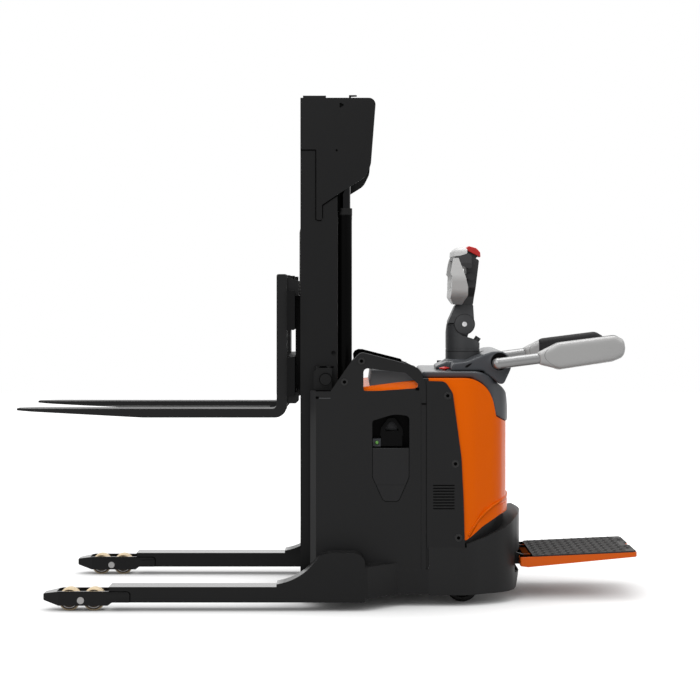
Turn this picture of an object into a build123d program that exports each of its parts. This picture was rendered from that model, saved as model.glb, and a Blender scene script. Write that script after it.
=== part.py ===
from build123d import *
import math
import os

# Electric platform stacker, drawn in millimetres.
# x runs from the mast front (0) back to the platform, y across the truck, z up from the floor.
# The left side of the operator, who looks towards the forks, is at minus y.

# General fits and stock
RUN_FIT = 0.05          # radial clearance of a turning shaft in its bore
SLIDE_GAP = 0.4         # clearance between faces that move past each other
SEAT_GAP = 0.3          # clearance under curved covers that lie over each other
PLATE = 10.0            # structural plate
SHEET = 6.0             # pressed side doors and panels
MOULD = 5.0             # moulded covers

# Straddle legs
LEG_SPAN = 897.0        # between leg centre lines
LEG_W = 100.0
LEG_H = 58.0
LEG_CLEAR = 34.0        # underside above the floor
LEG_WALL = 6.0
LEG_REAR = 246.0        # rear end of the leg tube
LEG_REACH = 956.0       # from the mast front to the leg tip
LEG_END_L = 323.0       # roller bracket at the tip, with its lap over the tube
LEG_LAP = 75.0          # how far the bracket walls lap over the end of the tube
LEG_END_STEP = 16.0     # bracket walls lie this far below the top of the tube
LEG_END_PROUD = 2.0     # bracket walls stand out from the sides of the tube
LEG_END_WALL = 8.0
LEG_END_DROP = 11.5     # how far the bracket walls hang below the tube
LEG_NOSE_L = 52.0       # solid nose in front of the roller well
LEG_NOSE_IN = 26.0      # how far the nose narrows on each side
GUSSET_TOP = 217.0
GUSSET_X0 = -84.0       # where the root gusset starts to rise
GUSSET_X1 = 97.0        # start of its level top
GUSSET_STEP = 10.0      # blunt front end of the root gusset
GUSSET_SWEEP = 220.0    # radius of its hollow sweep
WEDGE_TOP = 165.0       # angled block from the leg to the sill
WEDGE_X1 = 372.0

# Load rollers in rocking bogies
ROLLER_D = 84.0
ROLLER_W = 54.0
ROLLER_PITCH = 91.6     # between the two axles of a bogie
ROLLER_AXLE_D = 18.0
BOGIE_BACK = 143.0      # from the leg tip back to the bogie pin
ROCKER_T = 6.0
ROCKER_GAP = 2.0        # from roller side to rocker
BOGIE_PIN_D = 16.0
BOGIE_PIN_HEAD_D = 26.0

# Chassis
BODY_W = 770.0          # over the side doors
SILL_W = 55.0
SILL_BOTTOM = 48.0
DOOR_BOTTOM = 140.0
FLOOR_T = 22.0
FRAME_X0 = 8.0
BULK_X0 = 460.0         # bulkhead between battery and motor room
BULK_T = 28.0
BULK_TOP = 862.0
DECK_TOP = 342.0
DECK_T = 12.0
DECK_X1 = 780.0
DECK_REAR_HALF = 150.0   # half width of the deck at its rear edge
CHEEK_X1 = 630.0
CHEEK_Y = 340.0         # outer face of the castor cheeks

# Mast
MAST_W = 600.0
MAST_D = 142.0
MAST_TOP = 1934.0
MAST_FOOT = SILL_BOTTOM + FLOOR_T
BEAM_WEB = 10.0
BEAM_FLANGE = 12.0
BEAM_FLANGE_W = 60.0
NEST_GAP = 4.0          # between outer and inner mast profiles
INNER_FLANGE = 11.0
TIE_H = 90.0
CYL_D = 54.0            # lift cylinder barrel
CYL_ROD_D = 42.0
CYL_TOP = 1512.0
CYL_WALL = 4.0
CYL_RING = 1.5          # how far the gland ring stands out
CYL_Y = 266.0
FREE_CYL_D = 76.0       # centre cylinder of the free lift
FREE_ROD_D = 45.0
FREE_CYL_X = 46.0
FREE_CYL_TOP = 1040.0
CROSSHEAD_Z = 1420.0    # sheave axle in the photographed position
SHEAVE_D = 90.0
SHEAVE_Y = 76.0
SHEAVE_W = 22.0
CHAIN_W = 16.0
CHAIN_T = 10.0

# Fork carriage and forks
BAR_X0 = -52.0          # front face of the fork bars
BAR_T = 31.0
BAR_HALF = 320.0
BAR_H = 150.0
BAR_LOW = 792.0         # underside of the lower bar
BAR_TOP = 1195.0        # top of the upper bar
CARRIAGE_ROLLER_D = 86.0
CARRIAGE_ROLLER_W = 32.0
CARRIAGE_AXLE_D = 30.0
FORK_CENTRES = 493.0
FORK_W = 100.0
FORK_T = 39.5
FORK_BLADE_T = 34.0
FORK_TOP = 743.0        # upper face of the blades
FORK_SHANK_TOP = 1259.0
FORK_L = 1000.0         # blade in front of the shank
FORK_TAPER_L = 486.0
FORK_TIP_T = 8.0
FORK_HEEL_R = 46.0
FORK_BEVEL = 16.0
HOOK_W = 60.0

# Doors and covers
DOOR_X0 = 61.0          # front edge of the flat door face
DOOR_LIP = 22.0         # front strip bent inwards
DOOR_REAR = 477.0
DOOR_TOP = 816.0
PANEL_GAP = 4.0
PANEL_TOP = 854.0
PANEL_BOTTOM = 222.0
VENT_COUNT = 9
VENT_PITCH = 11.0
VENT_W = 82.0
VENT_H = 5.0
VENT_X0 = 504.0
VENT_Z0 = 368.0
POCKET_X0 = 274.0
POCKET_X1 = 415.0
POCKET_Z0 = 396.0
POCKET_Z1 = 727.0
POCKET_LEDGE = 600.0
POCKET_DEPTH = 60.0
POCKET_WALL = 3.0
POCKET_ROLL = 4.0       # rolled edge of the lower scoop
BOW_BOLT_D = 26.0
SCREW_D = 20.0
SCREW_H = 2.5
HOOD_W = 757.0
HOOD_REAR = 809.0
HOOD_LEDGE = 676.0      # rear edge under the console
LEDGE_RUN = 58.0
LEDGE_RISE = 36.0
HOOD_TOP = 861.0
HOOD_LIP = 5.0          # how far the lower lip stands out
CONSOLE_W = 610.0
CONSOLE_TOP = 886.0
CONSOLE_REAR = 817.5
SKIRT_REAR = 865.0
SKIRT_BOTTOM = 43.0
SKIRT_SLOT_W = 460.0
BATTERY_L = 212.0
BATTERY_W = 624.0
BATTERY_H = 627.0
BATTERY_LID_TOP = 896.0
BATTERY_LID_W = 684.0
BATTERY_LID_L = 195.0
COVER_X0 = 210.0        # front end of the battery cover
COVER_FRONT_Z = 826.0
COVER_W = 736.0

# Tiller
STEER_X = 639.0         # common axis of tiller turret and drive unit
TURRET_D = 136.0
TURRET_Z0 = 920.0
TURRET_Z1 = 985.0
TILT_X = 643.5
TILT_Z = 1062.7
TILT_R = 42.0
TILT_PIN_D = 20.0
TONGUE_W = 60.0         # tongue of the turret between the arm's discs
TONGUE_R = 36.0
KNOB_RAKE = 32.0
ARM_W = 112.0           # tiller arm across the truck
NECK_Z = 1140.0
HEAD_W = 150.0
GRIP_SPAN = 380.0       # over both grips
GRIP_D = 40.0
GRIP_X0 = 583.0         # foremost point of the grips
GRIP_TOP = 1370.0       # top of the thumb guard
BUTTON_TILT = 62.3      # press direction of the belly button, from level

# Side restraint arms
SHOULDER_X = 757.0
SHOULDER_Z = 916.0
SHOULDER_HALF = 265.0
BOSS_D = 62.0            # boss of the saddle round each arm
BOSS_L = 6.0
ARM_OUT = 33.0          # arm tubes lie this far outside the saddle
STUB_D = 36.0
STUB_L = 50.0
TUBE_D = 42.0
PAD_L = 338.0
PAD_H = 103.0
PAD_T = 56.0
PAD_TILT = 7.5
PAD_JOINT_X = 908.0
PAD_JOINT_Z = 935.0

# Platform
PLAT_W = 440.0
PLAT_X0 = 850.0
PLAT_X1 = 1302.5
PLAT_TOP = 162.0        # deck height at the hinge end
PLAT_RISE = 21.0        # extra height at the free end
PLAT_T0 = 38.0
PLAT_T1 = 18.0
PLAT_AXIS_X = 886.0
PLAT_AXIS_Z = 150.0
PLAT_PIN_D = 16.0
MAT_T = 5.0
MAT_X0 = 899.0
MAT_EDGE = 6.0
LUG_Y = 130.0
LUG_T = 20.0

# Castors and drive
CASTOR_X = 586.0        # swivel axis
CASTOR_TRACK = 518.0
CASTOR_TRAIL = 35.0
CASTOR_D = 125.0
CASTOR_W = 40.0
CASTOR_AXLE_D = 14.0
CASTOR_FORK_T = 6.0
CASTOR_PLATE_Z = 172.0
CASTOR_STEM_D = 24.0
DRIVE_D = 230.0
DRIVE_W = 75.0
DRIVE_AXLE_D = 40.0
TURNTABLE_D = 200.0
MOTOR_D = 170.0
MOTOR_TOP = 640.0

# Derived places
LEG_Y = LEG_SPAN / 2
BOGIE_X = BOGIE_BACK - LEG_REACH
SIDE_Y = BODY_W / 2                 # outer face of the side doors
SKIN_Y = SIDE_Y - SHEET             # inner face of the side doors
BULK_X1 = BULK_X0 + BULK_T
BAR_X1 = BAR_X0 + BAR_T
MAST_Y = MAST_W / 2
INNER_Y = MAST_Y - BEAM_WEB - NEST_GAP          # outer face of the inner beams
INNER_X0 = BEAM_FLANGE + NEST_GAP
INNER_X1 = MAST_D - BEAM_FLANGE - NEST_GAP
ROLLER_X = (INNER_X0 + INNER_X1) / 2            # carriage roller axles
FORK_TIP = BAR_X0 - FORK_T - FORK_L
CYL_X = MAST_D + CYL_D / 2 + CYL_RING
X_MID = (FORK_TIP + PLAT_X1) / 2


# Drawing helpers

def outline(plane, corners):
    """Flat face through (u, v, r) corners, each rounded to its radius r."""
    count = len(corners)
    ends = []
    for i in range(count):
        u, v, r = corners[i]
        corner = Vector(u, v)
        before = (Vector(corners[i - 1][0], corners[i - 1][1]) - corner).normalized()
        after = (Vector(corners[(i + 1) % count][0], corners[(i + 1) % count][1]) - corner).normalized()
        if r <= 0:
            ends.append((corner, None, corner))
            continue
        half = math.acos(max(-1.0, min(1.0, before.dot(after)))) / 2
        run = r / math.tan(half)
        centre = corner + (before + after).normalized() * (r / math.sin(half))
        middle = centre + (corner - centre).normalized() * r
        ends.append((corner + before * run, middle, corner + after * run))
    edges = []
    for i in range(count):
        start, middle, stop = ends[i]
        if middle is not None:
            edges.append(Edge.make_three_point_arc(start, middle, stop))
        follow = ends[(i + 1) % count][0]
        if (follow - stop).length > 1e-4:
            edges.append(Edge.make_line(stop, follow))
    return plane * Face(Wire(edges))


def side_plane(y):
    """Plane across the truck at y, with x and z as its axes."""
    return Plane(origin=(0, y, 0), x_dir=(1, 0, 0), z_dir=(0, -1, 0))


def side_prism(corners, y0, y1):
    """Side view outline drawn out from y0 to y1."""
    return extrude(outline(side_plane(y1), corners), y1 - y0, (0, -1, 0))


def plan_prism(corners, z0, z1):
    """Plan view outline drawn out from z0 to z1."""
    return extrude(outline(Plane.XY.offset(z0), corners), z1 - z0, (0, 0, 1))


def front_prism(corners, x0, x1):
    """Front view outline in (y, z) drawn out from x0 to x1."""
    plane = Plane(origin=(x0, 0, 0), x_dir=(0, 1, 0), z_dir=(1, 0, 0))
    return extrude(outline(plane, corners), x1 - x0, (1, 0, 0))


def block(x0, x1, y0, y1, z0, z1):
    """Box between two corners."""
    return Pos((x0 + x1) / 2, (y0 + y1) / 2, (z0 + z1) / 2) * Box(x1 - x0, y1 - y0, z1 - z0)


def rod_y(x, z, d, y0, y1):
    """Round bar across the truck."""
    return Pos(x, (y0 + y1) / 2, z) * Rot(90, 0, 0) * Cylinder(d / 2, y1 - y0)


def rod_z(x, y, d, z0, z1):
    """Upright round bar."""
    return Pos(x, y, (z0 + z1) / 2) * Cylinder(d / 2, z1 - z0)


def twin(shape):
    """The same shape on the other side of the truck."""
    return mirror(shape, Plane.XZ)


def group(*shapes):
    """Separate solids kept together in one piece list."""
    solids = []
    for shape in shapes:
        solids.extend(shape.solids())
    return Compound(solids)


# Straddle legs

def make_leg():
    """Leg on the operator's left: hollow tube, cast roller bracket, root gusset and angled block."""
    top = LEG_CLEAR + LEG_H
    tip = -LEG_REACH
    join = tip + LEG_END_L
    mouth = join - LEG_LAP
    skirt = LEG_CLEAR - LEG_END_DROP
    wall_top = top - LEG_END_STEP
    y0 = -LEG_Y - LEG_W / 2
    y1 = -LEG_Y + LEG_W / 2
    end_side = [
        (tip, LEG_CLEAR + 6, 6), (tip, wall_top - 11, 5), (tip + LEG_NOSE_L + 12, wall_top, 12),
        (join, wall_top, 8), (join, LEG_CLEAR, 0), (mouth + 11, LEG_CLEAR, 8), (mouth - 4, skirt, 8),
        (tip + LEG_NOSE_L + 8, skirt, 14),
    ]
    end = side_prism(end_side, y0, y1)
    end -= block(tip + LEG_NOSE_L, join + 1, y0 + LEG_END_WALL, y1 - LEG_END_WALL, skirt - 1, top + 1)
    run = tip + LEG_NOSE_L + 10
    for face, way in ((y0, 1), (y1, -1)):
        nose = [(tip - 1, face - way, 0), (run, face - way, 0), (tip - 1, face + way * LEG_NOSE_IN, 0)]
        if way < 0:
            nose.reverse()
        end -= plan_prism(nose, skirt - 1, top + 1)
    end -= rod_y(BOGIE_X, ROLLER_D / 2, BOGIE_PIN_D + 2 * RUN_FIT, y0 - 1, y1 + 1)
    y0 += LEG_END_PROUD
    y1 -= LEG_END_PROUD
    tube = block(mouth, LEG_REAR, y0, y1, LEG_CLEAR, top)
    tube -= block(mouth + LEG_END_WALL, LEG_REAR - LEG_WALL, y0 + LEG_WALL, y1 - LEG_WALL,
                  LEG_CLEAR + LEG_WALL, top - LEG_WALL)
    gusset_side = [
        (GUSSET_X0, top, 0), (GUSSET_X0, top + GUSSET_STEP, 0),
        (GUSSET_X0 + 84, top + 2.5 * GUSSET_STEP, GUSSET_SWEEP),
        (GUSSET_X1 - 9, GUSSET_TOP, 60), (LEG_REAR, GUSSET_TOP, 42), (LEG_REAR, top, 0),
    ]
    gusset = side_prism(gusset_side, y0, y1)
    gusset_core = [
        (GUSSET_X0 + 70, top - 1, 0), (GUSSET_X1 - 10, GUSSET_TOP - 26, 0),
        (LEG_REAR - 60, GUSSET_TOP - 16, 0),
        (LEG_REAR - 16, GUSSET_TOP - 80, 0), (LEG_REAR - 16, top - 1, 0),
    ]
    gusset -= side_prism(gusset_core, y0 + LEG_WALL, y1 - LEG_WALL)
    wedge = plan_prism([(LEG_REAR - LEG_WALL, y0, 0), (LEG_REAR + 8, y0, 10), (WEDGE_X1, -SIDE_Y, 0),
                        (LEG_REAR - LEG_WALL, -SIDE_Y, 0)], SILL_BOTTOM, WEDGE_TOP)
    pad = block(FRAME_X0 + 12, LEG_REAR, y1 - 1, -SIDE_Y, SILL_BOTTOM, DOOR_BOTTOM - 4)
    return tube + end + gusset + wedge + pad


def make_bogie_pins():
    """Stub pins, two to each bogie, from the bracket walls into the rockers."""
    pins = []
    reach = ROLLER_W / 2 + ROCKER_GAP + 0.5
    for y in (-LEG_Y, LEG_Y):
        for way in (-1, 1):
            a = y + way * reach
            b = y + way * LEG_W / 2
            c = b + way * 3
            stem = rod_y(BOGIE_X, ROLLER_D / 2, BOGIE_PIN_D, min(a, b), max(a, b))
            head = rod_y(BOGIE_X, ROLLER_D / 2, BOGIE_PIN_HEAD_D, min(b, c), max(b, c))
            pins.append(stem + head)
    return group(*pins)


def make_bogie(y):
    """Rocker frame with two plates, a centre web and both roller axles."""
    z = ROLLER_D / 2
    half = ROLLER_PITCH / 2
    inner = ROLLER_W / 2 + ROCKER_GAP
    outer = inner + ROCKER_T
    shape = None
    for y0 in (y - outer, y + inner):
        plate = side_prism([(BOGIE_X - half - 16, z - 16, 15), (BOGIE_X + half + 16, z - 16, 15),
                            (BOGIE_X + half + 16, z + 16, 15), (BOGIE_X - half - 16, z + 16, 15)], y0,
                            y0 + ROCKER_T)
        plate -= rod_y(BOGIE_X, z, BOGIE_PIN_D + 2 * RUN_FIT, y0 - 1, y0 + ROCKER_T + 1)
        shape = plate if shape is None else shape + plate
    web = (ROLLER_PITCH - ROLLER_D) / 4
    shape += block(BOGIE_X - web, BOGIE_X + web, y - inner, y + inner, z - 15, z + 15)
    for x in (BOGIE_X - half, BOGIE_X + half):
        shape += rod_y(x, z, ROLLER_AXLE_D, y - inner, y + inner)
    return shape


def make_roller(x, y):
    """Polyurethane load roller with chamfered rims and a hub recess on both sides."""
    z = ROLLER_D / 2
    r = ROLLER_D / 2
    bore = ROLLER_AXLE_D / 2 + RUN_FIT
    w = ROLLER_W / 2
    profile = [(bore, -w, 0), (r * 0.45, -w, 0), (r * 0.5, -w + 4, 0), (r * 0.68, -w + 4, 0),
               (r * 0.72, -w, 0),
               (r - 5, -w, 0), (r, -w + 5, 0), (r, w - 5, 0), (r - 5, w, 0), (r * 0.72, w, 0),
               (r * 0.68, w - 4, 0), (r * 0.5, w - 4, 0), (r * 0.45, w, 0), (bore, w, 0)]
    face = outline(Plane.XZ, profile)
    return Pos(x, y, z) * Rot(90, 0, 0) * revolve(face, Axis.Z)


# Chassis

def make_chassis():
    """Welded frame: sills, floor, bulkhead, motor deck, castor cheeks and the platform beam with its lugs."""
    floor_top = SILL_BOTTOM + FLOOR_T
    sill_in = SIDE_Y - SILL_W
    frame = block(FRAME_X0, BULK_X1, -sill_in, sill_in, SILL_BOTTOM, floor_top)
    for way in (-1, 1):
        a = way * sill_in
        b = way * SIDE_Y
        sill = block(FRAME_X0 + 34, BULK_X1, min(a, b), max(a, b), SILL_BOTTOM, DOOR_BOTTOM)
        c = way * (sill_in + LEG_WALL)
        d = way * (SIDE_Y - LEG_WALL)
        sill -= block(FRAME_X0 + 40, BULK_X1 - 6, min(c, d), max(c, d), SILL_BOTTOM + LEG_WALL,
                      DOOR_BOTTOM - LEG_WALL)
        frame += sill
    bulk = block(BULK_X0, BULK_X1, -SKIN_Y, SKIN_Y, floor_top, BULK_TOP)
    bulk -= block(BULK_X0 + PLATE, BULK_X1 + 1, -SKIN_Y + 40, SKIN_Y - 40, DECK_TOP + 60, BULK_TOP - 60)
    frame += bulk
    deck = plan_prism([(BULK_X1, -CHEEK_Y, 0), (CHEEK_X1, -CHEEK_Y, 20), (DECK_X1, -DECK_REAR_HALF, 20),
                       (DECK_X1, DECK_REAR_HALF, 20), (CHEEK_X1, CHEEK_Y, 20), (BULK_X1, CHEEK_Y, 0)],
                      DECK_TOP - DECK_T, DECK_TOP)
    deck -= rod_z(STEER_X, 0, TURNTABLE_D + 2 * RUN_FIT, DECK_TOP - DECK_T - 1, DECK_TOP + 1)
    frame += deck
    for way in (-1, 1):
        a = way * (CHEEK_Y - PLATE)
        b = way * CHEEK_Y
        frame += side_prism([(BULK_X1, CASTOR_PLATE_Z, 0), (CHEEK_X1 - 30, CASTOR_PLATE_Z, 0),
                             (CHEEK_X1, CASTOR_PLATE_Z + 50, 20), (CHEEK_X1, DECK_TOP - DECK_T, 0),
                             (BULK_X1, DECK_TOP - DECK_T, 0)], min(a, b), max(a, b))
        y = way * CASTOR_TRACK / 2
        c = y - way * 80
        shelf = block(BULK_X1, CASTOR_X + 70, min(c, a), max(c, a), CASTOR_PLATE_Z, CASTOR_PLATE_Z + DECK_T)
        shelf -= rod_z(CASTOR_X, y, CASTOR_STEM_D + 2 * RUN_FIT, CASTOR_PLATE_Z - 1,
                       CASTOR_PLATE_Z + DECK_T + 1)
        frame += shelf
    beam_z = PLAT_AXIS_Z - 24
    for way in (-1, 1):
        a = way * (LUG_Y - LUG_T / 2)
        b = way * (LUG_Y + LUG_T / 2)
        arm = side_prism([(DECK_X1 - 30, beam_z, 0), (PLAT_AXIS_X - 20, beam_z, 6),
                          (PLAT_AXIS_X + 13, PLAT_AXIS_Z - 13, 12),
                          (PLAT_AXIS_X + 13, PLAT_AXIS_Z + 13, 12), (PLAT_AXIS_X - 20, PLAT_AXIS_Z + 13, 4),
                          (DECK_X1, PLAT_AXIS_Z + 40, 6), (DECK_X1, DECK_TOP - DECK_T, 0),
                          (DECK_X1 - 30, DECK_TOP - DECK_T, 0)], min(a, b), max(a, b))
        arm -= rod_y(PLAT_AXIS_X, PLAT_AXIS_Z, PLAT_PIN_D + 2 * RUN_FIT, min(a, b) - 1, max(a, b) + 1)
        frame += arm
    return frame


# Mast

def channel(y_out, x0, x1, web, flange, width, z0, z1):
    """Upright channel section on the left, open towards the centre line."""
    corners = [(x0, -y_out, 0), (x1, -y_out, 0), (x1, -y_out + width, 3), (x1 - flange, -y_out + width, 3),
               (x1 - flange, -y_out + web, 6), (x0 + flange, -y_out + web, 6),
               (x0 + flange, -y_out + width, 3),
               (x0, -y_out + width, 3)]
    return plan_prism(corners, z0, z1)


def make_outer_mast():
    """Fixed mast: two channels, rear ties, foot plates and the side brackets with their bosses."""
    beam = channel(MAST_Y, 0, MAST_D, BEAM_WEB, BEAM_FLANGE, BEAM_FLANGE_W, MAST_FOOT, MAST_TOP)
    z0 = DOOR_TOP - 1
    bracket = block(52, 121, -MAST_Y - 44, -MAST_Y, z0, z0 + 85)
    bracket -= side_prism([(52, z0 + 70, 0), (72, z0 + 86, 0), (51, z0 + 86, 0)], -MAST_Y - 45, -MAST_Y + 1)
    bracket += rod_y(96.5, z0 + 41, 50, -MAST_Y - 51, -MAST_Y - 44)
    bracket += block(56, 116, -MAST_Y - 34, -MAST_Y, z0 - 28, z0 - 6)
    bracket += block(66, 106, -MAST_Y - 30, -MAST_Y, z0 - 6, z0)
    for x in (66, 109):
        bracket += rod_z(x, -MAST_Y - 22, 18, z0 + 70, z0 + 92)
    side = beam + bracket
    mast = side + twin(side)
    for z in (MAST_FOOT + 560, MAST_TOP - TIE_H - 64):
        mast += block(MAST_D, MAST_D + PLATE, -MAST_Y, MAST_Y, z, z + TIE_H)
        for way in (-1, 1):
            mast -= rod_z(CYL_X, way * CYL_Y, CYL_D + 1.0, z - 1, z + TIE_H + 1)
    mast += block(MAST_D, MAST_D + CYL_D + 6, -MAST_Y, MAST_Y, MAST_FOOT, MAST_FOOT + 14)
    return mast


def make_mast_guard():
    """Side guard plate at the mast head with its hanging finger and swept rear edge."""
    top = MAST_TOP
    rim = [
        (0, top, 4), (290, top, 26), (270, top - 257, 60), (246, top - 306, 60), (140, top - 372, 10),
        (83, top - 410, 0), (83, top - 468, 8), (61, top - 468, 8), (61, top - 198, 4), (0, top - 198, 0),
    ]
    plate = side_prism(rim, -MAST_Y - 4, -MAST_Y)
    plate -= side_prism([(150, top - 17, 3), (169, top - 27, 3), (150, top - 41, 3)], -MAST_Y - 5,
                        -MAST_Y + 1)
    plate += block(10, 98, -MAST_Y - 4, -MAST_Y + BEAM_WEB, top, top + 8)
    plate += side_prism([(186, top - 1, 0), (186, top + 10, 2), (216, top + 10, 2), (216, top + 4, 0),
                         (194, top + 3, 0),
                         (194, top - 1, 0)], -MAST_Y - 4, -MAST_Y)
    rear = block(MAST_D + CYL_D + 10, 256, -MAST_Y - 4, -MAST_Y + 46, top - 4, top)
    return plate + rear


def make_lift_barrel():
    """Lift cylinder behind the left beam, with a gland ring and a foot."""
    z0 = MAST_FOOT + 14
    barrel = rod_z(CYL_X, -CYL_Y, CYL_D, z0, CYL_TOP)
    barrel += rod_z(CYL_X, -CYL_Y, CYL_D + 2 * CYL_RING - 1, CYL_TOP - 27, CYL_TOP)
    barrel -= rod_z(CYL_X, -CYL_Y, CYL_D - 2 * CYL_WALL, z0 + 20, CYL_TOP - 20)
    barrel -= rod_z(CYL_X, -CYL_Y, CYL_ROD_D + 2 * RUN_FIT, CYL_TOP - 30, CYL_TOP + 1)
    return barrel


def make_lift_rod():
    """Chromed rod of the left lift cylinder, up to the head of the inner mast."""
    z1 = MAST_TOP - 6 - 34
    rod = rod_z(CYL_X, -CYL_Y, CYL_ROD_D, MAST_FOOT + 90, z1)
    piston = rod_z(CYL_X, -CYL_Y, CYL_D - 2 * CYL_WALL - 2 * RUN_FIT, MAST_FOOT + 60, MAST_FOOT + 90)
    return rod + piston


def make_inner_mast():
    """Sliding mast: nested channels, wear pads, rear ties, rod head and cylinder shelf."""
    z0 = MAST_FOOT + SLIDE_GAP
    z1 = MAST_TOP - 6
    beam = channel(INNER_Y, INNER_X0, INNER_X1, BEAM_WEB, INNER_FLANGE, BEAM_FLANGE_W, z0, z1)
    pad_y = -MAST_Y + BEAM_WEB + SLIDE_GAP
    for z in (z0 + 20, z0 + 300):
        beam += block(INNER_X0 + 8, INNER_X1 - 8, pad_y, -INNER_Y + 1, z, z + 90)
    inner_edge = INNER_Y - BEAM_FLANGE_W
    reach = MAST_Y - BEAM_FLANGE_W - NEST_GAP
    beam += block(INNER_X1 - INNER_FLANGE, MAST_D + NEST_GAP, -reach, -reach + 46, z1 - 34, z1)
    beam += block(MAST_D + 2, CYL_X + CYL_ROD_D / 2, -CYL_Y - 20, -reach + 46, z1 - 34, z1)
    mast = beam + twin(beam)
    for z in (z0 + 4, FREE_CYL_TOP - TIE_H, z1 - TIE_H):
        mast += block(INNER_X1 - INNER_FLANGE, INNER_X1, -inner_edge - 1, inner_edge + 1, z, z + TIE_H)
    mast += block(FREE_CYL_X - FREE_CYL_D / 2 - 6, INNER_X1, -inner_edge - 1, inner_edge + 1, z0 + 4, z0 + 20)
    mast += block(FREE_CYL_X + SHEAVE_D / 2 - CHAIN_T, INNER_X1, -SHEAVE_Y - 14, SHEAVE_Y + 14,
                  FREE_CYL_TOP - 40, FREE_CYL_TOP)
    mast -= rod_z(FREE_CYL_X, 0, FREE_CYL_D + 2, z0 + 20, FREE_CYL_TOP + 1)
    return mast


def make_free_barrel():
    """Centre cylinder of the free lift, standing on the inner mast."""
    z0 = MAST_FOOT + SLIDE_GAP + 20
    barrel = rod_z(FREE_CYL_X, 0, FREE_CYL_D, z0, FREE_CYL_TOP)
    barrel -= rod_z(FREE_CYL_X, 0, FREE_CYL_D - 2 * CYL_WALL, z0 + 20, FREE_CYL_TOP - 20)
    barrel -= rod_z(FREE_CYL_X, 0, FREE_ROD_D + 2 * RUN_FIT, FREE_CYL_TOP - 30, FREE_CYL_TOP + 1)
    return barrel


def make_free_ram():
    """Ram of the free lift with the crosshead and the sheave axle."""
    ram = rod_z(FREE_CYL_X, 0, FREE_ROD_D, MAST_FOOT + 420, CROSSHEAD_Z - 20)
    ram += rod_z(FREE_CYL_X, 0, FREE_CYL_D - 2 * CYL_WALL - 2 * RUN_FIT, MAST_FOOT + 400, MAST_FOOT + 430)
    half = SHEAVE_Y - SHEAVE_W / 2 - 1
    ram += side_prism([(FREE_CYL_X - 40, CROSSHEAD_Z - 34, 8), (FREE_CYL_X + 40, CROSSHEAD_Z - 34, 8),
                       (FREE_CYL_X + 26, CROSSHEAD_Z + 30, 12), (FREE_CYL_X - 26, CROSSHEAD_Z + 30, 12)],
                       -half, half)
    ram += rod_y(FREE_CYL_X, CROSSHEAD_Z, CARRIAGE_AXLE_D, -SHEAVE_Y - SHEAVE_W / 2 - 8,
                 SHEAVE_Y + SHEAVE_W / 2 + 8)
    return ram


def make_sheaves():
    """Pair of chain sheaves, each a grooved wheel on the crosshead axle."""
    r = SHEAVE_D / 2
    bore = CARRIAGE_AXLE_D / 2 + RUN_FIT
    w = SHEAVE_W / 2
    groove = CHAIN_W / 2 + 0.5
    rim = r + 6
    profile = [(bore, -w, 0), (rim, -w, 0), (rim, -groove, 0), (r, -groove, 0), (r, groove, 0),
               (rim, groove, 0),
               (rim, w, 0), (bore, w, 0)]
    wheel = Rot(90, 0, 0) * revolve(outline(Plane.XZ, profile), Axis.Z)
    return group(*[Pos(FREE_CYL_X, way * SHEAVE_Y, CROSSHEAD_Z) * wheel for way in (-1, 1)])


def make_chains():
    """Two leaf chains: carriage lug, over the sheave, down to the anchor on the inner mast."""
    r = SHEAVE_D / 2 + 0.3
    lug = BAR_TOP - BAR_H
    chains = []
    for way in (-1, 1):
        y0 = way * SHEAVE_Y - CHAIN_W / 2
        y1 = y0 + CHAIN_W
        x0 = FREE_CYL_X - r - CHAIN_T
        x1 = FREE_CYL_X + r
        front = block(x0, x0 + CHAIN_T, y0, y1, lug, CROSSHEAD_Z)
        back = block(x1, x1 + CHAIN_T, y0, y1, FREE_CYL_TOP, CROSSHEAD_Z)
        arch = rod_y(FREE_CYL_X, CROSSHEAD_Z, 2 * (r + CHAIN_T), y0, y1) - rod_y(FREE_CYL_X, CROSSHEAD_Z,
                                                                                 2 * r, y0, y1)
        arch -= block(x0 - 1, x1 + CHAIN_T + 1, y0 - 1, y1 + 1, CROSSHEAD_Z - r - CHAIN_T - 1, CROSSHEAD_Z)
        chains.append(front + arch + back)
    return group(*chains)


# Fork carriage

ARM_PLATE_T = 18.0
ARM_PLATE_Y = INNER_Y - BEAM_FLANGE_W - 8.0     # outer face of the carriage side plates
CARRIAGE_ROLLER_Z = (880.0, 1112.0)


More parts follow.
